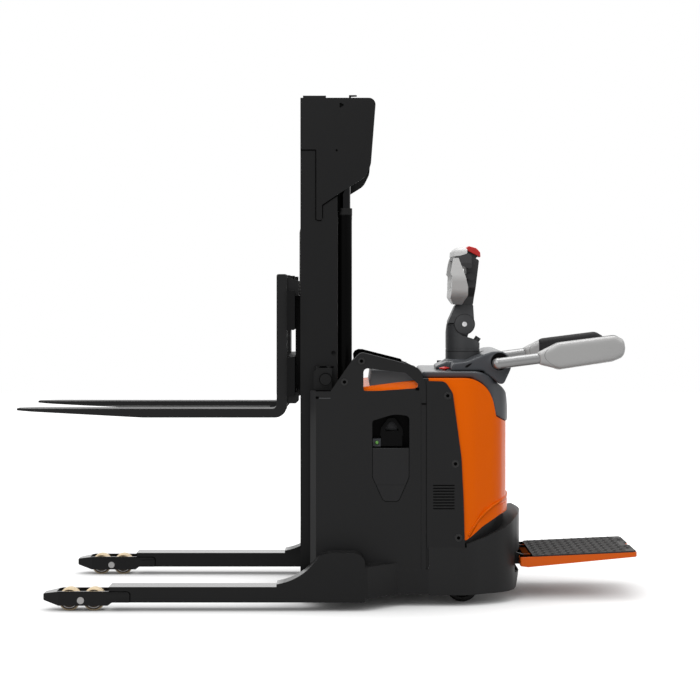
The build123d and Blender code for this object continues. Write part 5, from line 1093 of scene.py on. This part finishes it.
@dataclass
class Mast:
    """Outer and inner mast, lift cylinders, chains, carriage and forks."""

    bolt: Point = (126.5, 301.8, 957.5)     # middle of each beam's side bolt
    bolt_size: Pair = (8.0, 4.0)            # radius and height
    bolt_socket: Pair = (4.0, 2.5)          # rim and depth
    bolt_round: float = 0.6
    boss: Point = (97.0, 351.0, 858.0)
    boss_shadow_ring: Pair = (23.0, 1.1)           # radii of the painted shadow ring round the boss and of its section
    shadow_lines: tuple[Outline, ...] = (
        oblong(0.5, 1732.5, 61.0, 1735.9), oblong(57.4, 1466.0, 61.0, 1732.5),
        oblong(64.0, 1463.0, 80.0, 1466.0),
        ((83.0, 1474.0), (86.0, 1474.0), (86.0, 1521.0), (83.0, 1523.5)),
        ((83.0, 1523.5), (86.0, 1521.0), (141.8, 1558.5), (140.0, 1561.5)),
        oblong(56.0, 901.0, 128.0, 906.0))      # painted shadow lines along the guard and over the bracket
    shadow_line_y: Pair = (303.6, 299.8)
    hole: Point = (139.0, 302.2, 1733.0)
    hole_size: Pair = (4.0, 4.6)
    clip: tuple[Point, Point] = ((141.9, 286.0, 1500.0), (152.5, 299.5, 1562.0))    # black block that fills the gap from beam to cylinder with painted shade
    shade_block_round: float = 1.0

    def dress(self) -> None:
        """Give the mast's solids their finishes."""
        dress(Look.MAST_COAT, "outer_mast", "mast_guards")
        dress(Look.SHADED_CARRIAGE_COAT, "inner_mast", "fork_carriage")
        dress(Look.SHADED_BARREL_BLACK, "lift_barrels", "free_lift_barrel")
        dress(Look.FORK_COAT, "left_fork", "right_fork")
        dress(Look.CHROME_ROD, "lift_rods", "free_lift_ram")
        dress(Look.CHAIN_STEEL, "lift_chains")
        dress(Look.BRIGHT_STEEL, "chain_sheaves", "lower_mast_rollers", "upper_mast_rollers")

    def build(self) -> None:
        """Add bolts, a painted shadow ring round each boss, painted shadow lines and a black hole along guards
        and brackets, and a black block of painted shade between each beam and its lift cylinder.
        """
        for side in Side:
            bolt = Bench.drum(f"{side.label}_mast_bolt", side.at(*self.bolt), *self.bolt_size, sides=36)
            Bench.sink(bolt, side.outward, *self.bolt_socket)
            Bench.soften(bolt, self.bolt_round)
            Bench.fit(bolt, Look.PLUG_BLACK, "chassis", "black_paint")
            # black ring round the boss: painted shadow
            ring = Bench.ring(f"{side.label}_mast_boss_ring", side.at(*self.boss), *self.boss_shadow_ring)
            Bench.fit(ring, Look.VOID_BLACK, "chassis", "black_paint")
            # black strips along the guard and a black disc at its hole: painted shadow
            shadow_lines = Bench.plates("guard_seams", self.shadow_lines, [side.span(self.shadow_line_y)])
            hole = Bench.drum("guard_hole", side.at(*self.hole), *self.hole_size, sides=24)
            Bench.fit(Bench.join(f"{side.label}_guard_seams", [shadow_lines, hole]), Look.VOID_BLACK, "chassis",
                      "black_paint")
            # black block between beam and cylinder: painted shade
            clip = Bench.block(f"{side.label}_barrel_clip", *(side.at(*corner) for corner in self.clip))
            Bench.soften(clip, self.shade_block_round)
            Bench.fit(clip, Look.VOID_BLACK, "chassis", "black_paint")


@dataclass
class Body:
    """Chassis, doors, panels, covers and what sits in them."""

    strip_outline: Outline = (
        (203.0, 938.0), (201.0, 957.0), (207.0, 968.5), (221.0, 975.0), (236.0, 974.5), (381.0, 938.0),
        (386.0, 933.0), (384.0, 924.5), (242.0, 961.0), (229.0, 959.0), (215.0, 947.5))
    strip_y: Pair = (-385.8, -376.8)
    strip_round: float = 2.0
    rim_highlight_path: Outline = (
        (203.0, 934.0), (210.0, 941.5), (218.0, 950.5), (226.0, 956.8), (234.0, 959.8), (242.0, 960.2),
        (250.0, 958.5), (280.0, 950.9), (320.0, 940.7), (360.0, 930.4), (384.0, 924.2), (400.0, 920.0))
    rim_highlight_y: float = -385.2           # pressed edge of the bow, where a grey bead is a painted highlight
    rim_highlight_radius: float = 1.3
    clip_places: Outline = ((389.0, 929.5), (401.0, 926.0))
    clip_half: Pair = (2.6, 2.2)    # half the length and height of a clip
    clip_y: Pair = (-384.2, -378.4)
    flare_path: tuple[Point, ...] = (
        (640.0, -370.0, 266.0), (656.8, -363.9, 294.8), (668.7, -356.9, 310.5), (692.2, -346.0, 338.5),
        (724.5, -322.1, 364.5), (757.8, -286.8, 383.5), (785.4, -217.5, 391.0), (801.0, -120.0, 393.0),
        (809.5, 0.0, 393.5))        # line of the raised lip on the hood's left half
    flare_radius: float = 6.0
    shell_voxel: float = 4.0
    shell_steps: int = 16
    collar_x: float = 639.0
    collar_profile: Outline = (
        (114.0, 884.0), (112.0, 888.0), (103.0, 895.0), (94.0, 903.0), (85.0, 911.5), (77.0, 919.0),
        (71.0, 924.0), (69.4, 924.5), (69.4, 884.0))
    bearing: Point = (766.0, 268.0, 923.0)
    bearing_size: Pair = (34.0, 8.0)        # radius and length
    bearing_well: Pair = (8.0, 2.0)         # rim and depth
    bearing_round: float = 1.2
    inlay_outline: Outline = (
        (632.0, 900.5), (640.0, 899.0), (649.0, 905.0), (661.0, 916.5), (650.0, 915.0), (637.0, 907.5))
    inlay_y: Pair = (264.0, 265.6)
    inlay_round: float = 0.3
    lamp: Pair = (292.0, 618.5)
    lamp_housing: Pair = (30.0, 34.0)       # side and depth
    housing_well: Pair = (3.0, 1.5)         # rim and depth
    housing_round: float = 1.0
    lens_size: Pair = (6.6, 6.0)            # radius and length
    lens_crown: Pair = (1.6, -1.2)          # rim and depth, which stands out
    pocket_wall: float = 3.0
    screws: Outline = ((560.0, 798.0), (589.0, 540.0), (601.0, 260.0))
    bow_screws: Outline = ((233.5, 929.0), (169.0, 850.0))
    screw_face: float = 387.5
    socket_shade_size: Pair = (6.5, 0.8)          # radius and length of the black disc that paints a socket's shade
    cup_size: Pair = (14.0, 1.2)
    cup_well: Pair = (3.0, 0.9)             # rim and depth
    cup_round: float = 0.4
    # black strips at the door's corner and the bow's foot: painted shadow in the gaps
    gaps: tuple[Outline, ...] = (
        oblong(461.0, 764.0, 479.0, 769.5), oblong(438.0, 818.0, 452.0, 828.0),
        oblong(60.0, 814.5, 117.0, 818.5), oblong(60.0, 786.0, 72.0, 795.0))
    shadow_gap_y: Pair = (-385.4, -382.4)
    # grey strip on the door's ledge: painted highlight
    ledge_highlight: Outline = oblong(72.0, 786.5, 116.0, 790.0)
    ledge_highlight_y: Pair = (-385.8, -382.4)
    hatch_outline: Outline = ((347.0, 708.0), (374.0, 676.0), (371.0, 662.0), (322.0, 662.0), (319.0, 676.0))
    hatch_y: Pair = (-324.0, -321.0)
    small_round: float = 0.8

    def dress(self) -> None:
        """Give the body's solids their finishes."""
        dress(Look.BLACK_COAT, "chassis_frame", "left_door", "right_door", "left_panel", "right_panel")
        dress(Look.ORANGE_GLOSS, "motor_hood")
        dress(Look.COVER_ORANGE, "battery_cover")
        dress(Look.DARK_MOULDING, "rear_skirt")
        dress(Look.POCKET_MOULDING, "connector_pocket")
        dress(Look.CONSOLE_GREY, "top_console", "tiller_saddle")
        dress(Look.LID_GREY, "battery_lid")
        dress(Look.SCREW_BLACK, "body_screws")
        dress(Look.DARK_STEEL, "hydraulic_unit")
        dress(Look.PLUG_BLACK, "battery_connector", "key_switch")
        dress(Look.RED_CAP, "emergency_stop")
        dress(Look.CELL_GREY, "battery")

    def build(self) -> None:
        """Add the fittings of bow, hood, console, pocket, panels and door."""
        self._bow_strip()
        self._hood_flare()
        self._console()
        self._saddle_inlays()
        self._charge_lamp()
        self._fastener_cups()
        self._door_marks()

    def _bow_strip(self) -> None:
        """Lay a rubber strip with clips over the top edge of the bow handle and paint a highlight along its
        rim with a grey bead.
        """
        strip = Bench.plate("bow_grip_strip", self.strip_outline, *self.strip_y)
        Bench.soften(strip, self.strip_round, steps=3)
        Bench.fit(strip, Look.VOID_BLACK, "chassis", "dark_moulding")
        # grey bead along the bow's edge: painted highlight
        rim = Bench.bead("bow_rim_highlight", [at(x, self.rim_highlight_y, z) for x, z in self.rim_highlight_path], self.rim_highlight_radius)
        Bench.fit(rim, Look.HIGHLIGHT_GREY, "chassis", "black_paint")
        clips = []
        wide, high = self.clip_half
        for x, z in self.clip_places:
            clip = Bench.block("strip_clip", at(x - wide, self.clip_y[0], z - high),
                               at(x + wide, self.clip_y[1], z + high))
            Bench.soften(clip, self.small_round)
            clips.append(clip)
        Bench.fit(Bench.join("strip_clips", clips), Look.BRIGHT_STEEL, "chassis", "bright_steel")

    def _hood_flare(self) -> None:
        """Round the raised lip over the hood's lower edge with a glossy bead."""
        left = [at(*place) for place in self.flare_path]
        right = [Vector((place.x, -place.y, place.z)) for place in reversed(left[:-1])]
        flare = Bench.bead("hood_flare", left + right, self.flare_radius)
        Bench.fit(flare, Look.COVER_ORANGE, "chassis", "orange_gloss")

    def _console(self) -> None:
        """Round the console and the saddle, and add the turret's collar and the arms' bearing rings."""
        for node in ("top_console", "tiller_saddle"):
            shell = Bench.crown(node, self.shell_voxel, self.shell_steps)
            Bench.fit(shell, Look.CONSOLE_GREY, "chassis", "dark_moulding")
            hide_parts(node)
        collar = Bench.lathe("turret_collar", self.collar_x, self.collar_profile)
        Bench.fit(collar, Look.CONSOLE_GREY, "chassis", "dark_moulding")
        for side in Side:
            bearing = Bench.drum(f"{side.label}_arm_bearing", side.at(*self.bearing), *self.bearing_size,
                                 sides=48)
            Bench.sink(bearing, side.outward, *self.bearing_well)
            Bench.soften(bearing, self.bearing_round, steps=3)
            Bench.fit(bearing, Look.PLUG_BLACK, "chassis", "dark_moulding")

    def _saddle_inlays(self) -> None:
        """Set a small slanted dark inlay into each side of the saddle."""
        for side in Side:
            inlay = Bench.plate(f"{side.label}_saddle_slot", self.inlay_outline, *side.span(self.inlay_y))
            Bench.soften(inlay, self.inlay_round)
            Bench.fit(inlay, Look.PLUG_BLACK, "chassis", "dark_moulding")

    def _charge_lamp(self) -> None:
        """Set the small charge lamp and its housing into the pocket."""
        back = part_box("connector_pocket")[1][1] / MM - self.pocket_wall
        (x, z), half, front = self.lamp, self.lamp_housing[0] / 2, back - self.lamp_housing[1]
        housing = Bench.block("charge_lamp_housing", at(x - half, front, z - half),
                              at(x + half, back, z + half))
        Bench.sink(housing, Side.LEFT.outward, *self.housing_well)
        Bench.soften(housing, self.housing_round)
        Bench.fit(housing, Look.CONSOLE_GREY, "chassis", "dark_moulding")
        lens = Bench.drum("charge_lamp_lens", at(x, front, z), *self.lens_size, sides=28)
        Bench.sink(lens, Side.LEFT.outward, *self.lens_crown)
        Bench.soften(lens, self.small_round, steps=3)
        Bench.fit(lens, Look.LAMP_GREEN, "chassis", "dark_moulding")

    def _fastener_cups(self) -> None:
        """Ring each panel fastener with its pressed cup and paint shade into every fastener's socket with a
        black disc.
        """
        for side in Side:
            middle = side.reach(f"{side.label}_panel") + self.cup_size[1] / 2
            cups = [Bench.drum("fastener_cup", side.at(x, middle, z), *self.cup_size)
                    for x, z in self.screws]
            for cup in cups:
                Bench.sink(cup, side.outward, *self.cup_well)
            screws = self.screws + (self.bow_screws if side is Side.LEFT else ())
            # black discs on the screw heads: painted shade of their sockets
            socket_shades = [Bench.drum("screw_socket_shade", side.at(x, self.screw_face, z), *self.socket_shade_size,
                                  sides=24) for x, z in screws]
            joined = Bench.join(f"{side.label}_fastener_cups", cups)
            Bench.soften(joined, self.cup_round)
            Bench.fit(joined, Look.SCREW_BLACK, "chassis", "black_paint")
            Bench.fit(Bench.join(f"{side.label}_screw_sockets", socket_shades), Look.VOID_BLACK, "chassis",
                      "black_paint")

    def _door_marks(self) -> None:
        """Paint shadow into the gaps at the door's corner and the bow's foot, paint a highlight on the door's
        ledge, and add the hatch behind the plug.
        """
        gaps = Bench.plates("door_shadow_slots", self.gaps, [self.shadow_gap_y])
        Bench.fit(gaps, Look.VOID_BLACK, "chassis", "dark_moulding")
        # grey strip in the head's grey: painted highlight on the ledge
        ledge_highlight = Bench.plate("door_ledge_highlight", self.ledge_highlight, *self.ledge_highlight_y)
        Bench.fit(ledge_highlight, Look.HEAD_GREY, "chassis", "black_paint")
        hatch = Bench.plate("plug_hatch", self.hatch_outline, *self.hatch_y)
        Bench.soften(hatch, self.small_round)
        Bench.fit(hatch, Look.LID_GREY, "chassis", "dark_moulding")


@dataclass
class Tiller:
    """Turret, arm and control head."""

    pivot: Pair = (643.5, 1062.7)
    gasket: Outline = ((578.0, 1058.0), (604.0, 1058.0), (603.0, 1069.6), (579.0, 1069.6))
    gasket_y: Pair = (-40.0, 40.0)
    gasket_round: float = 1.5
    turret_x: float = 639.0
    seam_profile: Outline = ((67.0, 954.0), (68.3, 954.0), (68.3, 955.6), (67.0, 955.6), (67.0, 954.0))
    disc_size: Pair = (39.0, 2.0)       # radius and height
    disc_round: float = 1.0
    shadow_ring: Pair = (39.5, 0.9)          # radii of the painted shadow ring round the disc and of its section
    screw_size: Pair = (9.6, 3.0)
    screw_gap: float = 0.4              # between disc and screw
    screw_round: float = 0.5
    slot_half: Point = (20.0, 0.9, 1.5)     # half the slot's length, depth and width

    def dress(self) -> None:
        """Give the tiller's solids their finishes."""
        dress(Look.HEAD_GREY, "tiller_turret", "tiller_arm")
        dress(Look.HEAD_DARK, "tiller_head", "throttle", "lift_rocker")
        dress(Look.GRIP_GREY, "grip_frame")
        dress(Look.RED_CAP, "belly_button")

    def build(self) -> None:
        """Add the turret's gasket and seam, the knuckle discs and the slotted screws of the tilt pin."""
        gasket = Bench.plate("turret_gasket", self.gasket, *self.gasket_y)
        Bench.soften(gasket, self.gasket_round)
        Bench.fit(gasket, Look.FOAM_BLACK, "tiller_turret", "dark_moulding")
        seam = Bench.lathe("turret_seam", self.turret_x, self.seam_profile)
        Bench.fit(seam, Look.VOID_BLACK, "tiller_turret", "dark_moulding")
        for side in Side:
            self._knuckle(side)

    def _knuckle(self, side: Side) -> None:
        """Add one side's disc, the painted shadow ring round it and the slotted screw.

        Args:
            side: The side.
        """
        x, z = self.pivot
        face = side.reach("tiller_arm")
        seat = face + self.disc_size[1] + self.screw_gap
        height = self.screw_size[1]
        disc = Bench.drum(f"{side.label}_knuckle_disc", side.at(x, face + self.disc_size[1] / 2, z),
                          *self.disc_size, sides=64)
        Bench.soften(disc, self.disc_round)
        Bench.fit(disc, Look.HEAD_GREY, "tiller", "dark_moulding")
        shadow_ring = Bench.ring(f"{side.label}_knuckle_groove", side.at(x, face, z), *self.shadow_ring)
        Bench.fit(shadow_ring, Look.VOID_BLACK, "tiller", "dark_moulding")
        head = Bench.drum(f"{side.label}_pivot_screw", side.at(x, seat + height / 2, z), *self.screw_size)
        middle, half = side.at(x, seat + height, z), Vector(self.slot_half) * MM
        Bench.cut(head, Bench.block("slot_cutter", middle - half, middle + half))
        Bench.soften(head, self.screw_round)
        Bench.fit(head, Look.BRIGHT_STEEL, "tiller_turret", "bright_steel")


@dataclass
class Restraints:
    """Side arms with their pads."""

    foam_share: float = 0.42        # part of the pad's thickness that is foam
    sleeve: float = 68.0            # bare front part of each pad
    foam_proud: float = 1.2
    voxel: float = 3.0
    crown_steps: int = 40

    def dress(self) -> None:
        """Give the arms and pads their finishes."""
        dress(Look.SATIN_TUBE, "left_arm", "right_arm")
        dress(Look.PAD_GREY, "left_pad", "right_pad")

    def build(self) -> None:
        """Crown each pad's shell and line its inner face with black foam."""
        for side in Side:
            node, body = f"{side.label}_pad", f"{side.label}_restraint"
            shell = Bench.crown(node, self.voxel, self.crown_steps)
            Bench.fit(shell, Look.PAD_GREY, body, "pad_grey")
            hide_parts(node)
            low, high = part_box(node)
            inner = high[1] if side is Side.LEFT else low[1]
            cut_y = inner + side.value * (high[1] - low[1]) * self.foam_share
            foam = Bench.cast(node, f"{node}_foam")
            for place, normal in (((0.0, cut_y, 0.0), (0.0, -side.value, 0.0)),
                                  ((low[0] + self.sleeve * MM, 0.0, 0.0), (1.0, 0.0, 0.0))):
                bpy.ops.mesh.bisect(plane_co=place, plane_no=normal, use_fill=True, clear_inner=True)
                bpy.ops.mesh.select_all(action="SELECT")
            bpy.ops.transform.shrink_fatten(value=self.foam_proud * MM)
            Bench.close()
            bpy.ops.object.shade_smooth_by_angle(angle=CREASE)
            Bench.fit(foam, Look.FOAM_BLACK, body, "pad_grey")


@dataclass
class Platform:
    """Folding platform with its tread mat."""

    mat_thickness: float = 5.0
    cell: float = 30.0
    ribs_in_cell: int = 2
    rib_turn: float = 45.0          # degrees, to either side in turn
    rib_size: Point = (25.0, 6.0, 1.6)
    rib_root: float = 0.6           # how far a rib reaches into the mat
    rib_taper: Point = (0.86, 0.5, 1.0)     # size of a rib's top against its foot
    margin: float = 4.0
    bare_end: float = 46.0          # rear strip that has the rounded corners and the notch
    bare_notch: float = 60.0
    bare_corner: float = 50.0
    bay_outline: Outline = ((851.5, 161.5), (898.5, 163.8), (898.5, 165.1), (851.5, 162.9))
    bay_spans: tuple[Pair, ...] = ((-214.0, -142.0), (-118.0, 118.0), (142.0, 214.0))
    wall_outline: Outline = ((868.0, 163.0), (893.0, 164.0), (893.0, 165.5), (868.0, 164.4))
    wall_spans: tuple[Pair, ...] = ((-170.0, -142.0), (-118.0, 40.0))
    edge_outline: Outline = ((900.0, 163.0), (1287.0, 181.0), (1287.0, 185.4), (900.0, 167.2))
    edge_spans: tuple[Pair, ...] = ((-219.0, -212.0), (212.0, 219.0))
    edge_grow: float = 1.0152       # how far the edging runs out behind the mat
    edge_drop: float = 1.6

    def dress(self) -> None:
        """Give the platform's solids their finishes."""
        dress(Look.ORANGE_PAINT, "platform")
        dress(Look.MAT_RUBBER, "platform_mat")

    def build(self) -> None:
        """Edge the mat, paint shade into the bay before it and cover the mat with short ribs whose darker
        rubber is painted shade.
        """
        self._edge_and_bay()
        low, high = (Vector(corner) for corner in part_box("platform_mat"))
        length = high.x - low.x
        top = low.z + self.mat_thickness * MM
        slope = (high.z - top) / length
        cell, margin = self.cell * MM, self.margin * MM
        columns = round((length - 2 * margin) / cell)
        rows = round((high.y - low.y - 2 * margin) / cell)
        start_x = low.x + (length - columns * cell) / 2
        start_y = (low.y + high.y - rows * cell) / 2
        rib = self._rib()
        copies = []
        for column in range(columns):
            for row in range(rows):
                x = start_x + (column + 0.5) * cell
                y = start_y + (row + 0.5) * cell
                if self._off_mat(x, y, high):
                    continue
                turn = math.radians(self.rib_turn if (column + row) % 2 else -self.rib_turn)
                for step in range(self.ribs_in_cell):
                    shift = (step - (self.ribs_in_cell - 1) / 2) * cell / self.ribs_in_cell
                    px, py = x - shift * math.sin(turn), y + shift * math.cos(turn)
                    place = Vector((px, py, top + (px - low.x) * slope))
                    copies.append(Bench.copy(rib, place, turn, -math.atan(slope)))
        Bench.scrap(rib)
        Bench.fit(Bench.join("mat_treads", copies), Look.SHADED_RIB_RUBBER, "platform", "mat_rubber")

    def _edge_and_bay(self) -> None:
        """Lay the mat's thin edging under it and line the bay between the mat and the hinge with painted
        shade, black on its floor and dark orange on its walls.
        """
        edging = Bench.cast("platform_mat", "mat_edging")
        bpy.ops.transform.resize(value=(self.edge_grow, 1.0, 1.0), center_override=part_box("platform_mat")[0])
        bpy.ops.transform.translate(value=(0.0, 0.0, -self.edge_drop * MM))
        Bench.close()
        strips = Bench.plates("mat_strips", [self.edge_outline], self.edge_spans)
        edging = Bench.join("mat_edging", [edging, strips])
        bpy.ops.object.shade_smooth_by_angle(angle=CREASE)
        Bench.fit(edging, Look.SHADED_RIB_RUBBER, "platform", "mat_rubber")
        # black sheet on the bay's floor: painted shade
        shade_liner = Bench.plates("bay_shade_liner", [self.bay_outline], self.bay_spans)
        Bench.fit(shade_liner, Look.VOID_BLACK, "platform", "mat_rubber")
        wall = Bench.plates("bay_wall", [self.wall_outline], self.wall_spans)
        Bench.fit(wall, Look.SHADED_ORANGE, "platform", "orange_gloss")

    def _rib(self) -> Piece:
        """Model one rib at the origin, narrower at its top.

        Returns:
            The rib.
        """
        long, wide, high = (size * MM for size in self.rib_size)
        rib = Bench.block("mat_rib", Vector((-long / 2, -wide / 2, -self.rib_root * MM)),
                          Vector((long / 2, wide / 2, high)))
        Bench.pick(rib, lambda centre, normal: normal.z > FACING)
        bpy.ops.transform.resize(value=self.rib_taper, center_override=(0.0, 0.0, high))
        Bench.close()
        return rib

    def _off_mat(self, x: float, y: float, high: Vector) -> bool:
        """Say whether a cell lies over the mat's rounded corners or rear notch.

        Args:
            x: Middle of the cell along the truck.
            y: Middle of the cell across the truck.
            high: Highest corner of the mat.

        Returns:
            Whether the cell is left bare.
        """
        near_end = high.x - x < self.bare_end * MM
        return near_end and (abs(y) < self.bare_notch * MM or abs(y) > high.y - self.bare_corner * MM)


@dataclass
class Undercarriage:
    """Support legs, rollers, castors and drive."""

    rollers: tuple[str, ...] = (
        "left_front_roller", "left_rear_roller", "right_front_roller", "right_rear_roller")
    cap_size: Pair = (11.0, 1.6)        # radius and height
    cap_well: Pair = (3.0, 0.9)         # rim and depth
    cap_round: float = 0.5
    pin_inner: float = 395.5            # inner end of the pins
    rim_size: Pair = (30.6, 1.6)        # radii of the ring and of its section
    rim_sunk: float = 0.9
    shoe_outline: Outline = (
        (-716.0, 34.0), (-634.0, 34.0), (-631.0, 37.5), (-631.0, 66.0), (-636.0, 72.0), (-716.0, 73.5))
    shoe_spans: tuple[Pair, ...] = ((400.5, 397.1), (496.5, 499.9))     # from in the tube to the lap's face
    shoe_round: float = 0.8
    # black bead along the lapped shoe's edge: painted shadow
    shadow_bead_path: Outline = (
        (-716.0, 74.6), (-660.0, 74.0), (-637.0, 73.2), (-630.5, 67.5), (-629.8, 52.0), (-629.8, 36.0))
    shadow_bead_faces: Pair = (398.5, 498.5)   # both sides of the leg's tube
    shadow_bead_radius: float = 1.5

    def dress(self) -> None:
        """Give the running gear its finishes."""
        dress(Look.LEG_COAT, "left_leg", "right_leg")
        dress(Look.BLACK_COAT, "left_bogie", "right_bogie", "left_castor", "right_castor")
        dress(Look.PIN_STEEL, "bogie_pins")
        dress(Look.CREAM_TYRE, *self.rollers)
        dress(Look.DARK_TYRE, "left_castor_wheel", "right_castor_wheel")
        dress(Look.DRIVE_TYRE, "drive_wheel")
        dress(Look.DARK_STEEL, "drive_unit")

    def build(self) -> None:
        """Rim the rollers' hubs, lap the roller brackets over the legs and close the bogie pins."""
        self._hub_rims()
        self._shoes()
        self._pin_caps()

    def _hub_rims(self) -> None:
        """Add a bright rim to both sides of each roller's hub."""
        for node in self.rollers:
            low, high = (Vector(corner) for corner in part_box(node))
            rims = []
            for face, inward in ((low.y, 1.0), (high.y, -1.0)):
                middle = (low + high) / 2
                middle.y = face + inward * self.rim_sunk * MM
                rims.append(Bench.ring("hub_rim", middle, *self.rim_size))
            Bench.fit(Bench.join(f"{node}_rims", rims), Look.BRIGHT_STEEL, node, "bright_steel")

    def _shoes(self) -> None:
        """Lap the end of each roller bracket over the leg's tube and line its edge with a black bead of
        painted shadow.
        """
        for side in Side:
            shoes = Bench.plates(f"{side.label}_leg_shoes", [self.shoe_outline],
                                 [side.span(span) for span in self.shoe_spans])
            Bench.soften(shoes, self.shoe_round)
            paths = [[side.at(x, face, z) for x, z in self.shadow_bead_path] for face in self.shadow_bead_faces]
            shadow_beads = [Bench.bead("shoe_shadow_bead", path, self.shadow_bead_radius) for path in paths]
            Bench.fit(shoes, Look.LEG_COAT, "chassis", "black_paint")
            Bench.fit(Bench.join(f"{side.label}_shoe_welds", shadow_beads), Look.VOID_BLACK, "chassis",
                      "black_paint")

    def _pin_caps(self) -> None:
        """Close both ends of the bogie pins with a dished cap."""
        low, high = (Vector(corner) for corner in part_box("bogie_pins"))
        caps = []
        for side in Side:
            for end, way in ((side.reach("bogie_pins"), 1), (self.pin_inner, -1)):
                centre = (low + high) / 2
                centre.y = side.value * (end + way * self.cap_size[1] / 2) * MM
                cap = Bench.drum("pin_cap", centre, *self.cap_size, sides=36)
                Bench.sink(cap, Side(side.value * way).outward, *self.cap_well)
                Bench.soften(cap, self.cap_round)
                caps.append(cap)
        Bench.fit(Bench.join("bogie_pin_caps", caps), Look.PIN_STEEL, "chassis", "bright_steel")


def main() -> None:
    """Build the studio, dress each sub-assembly and add its fittings."""
    logging.basicConfig(level=logging.INFO, format="%(name)s: %(message)s")
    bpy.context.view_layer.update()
    Studio().build()
    for part in (Mast(), Body(), Tiller(), Restraints(), Platform(), Undercarriage()):
        part.dress()
        part.build()
        LOG.info("finished %s", type(part).__name__)


if __name__ == "__main__":
    main()
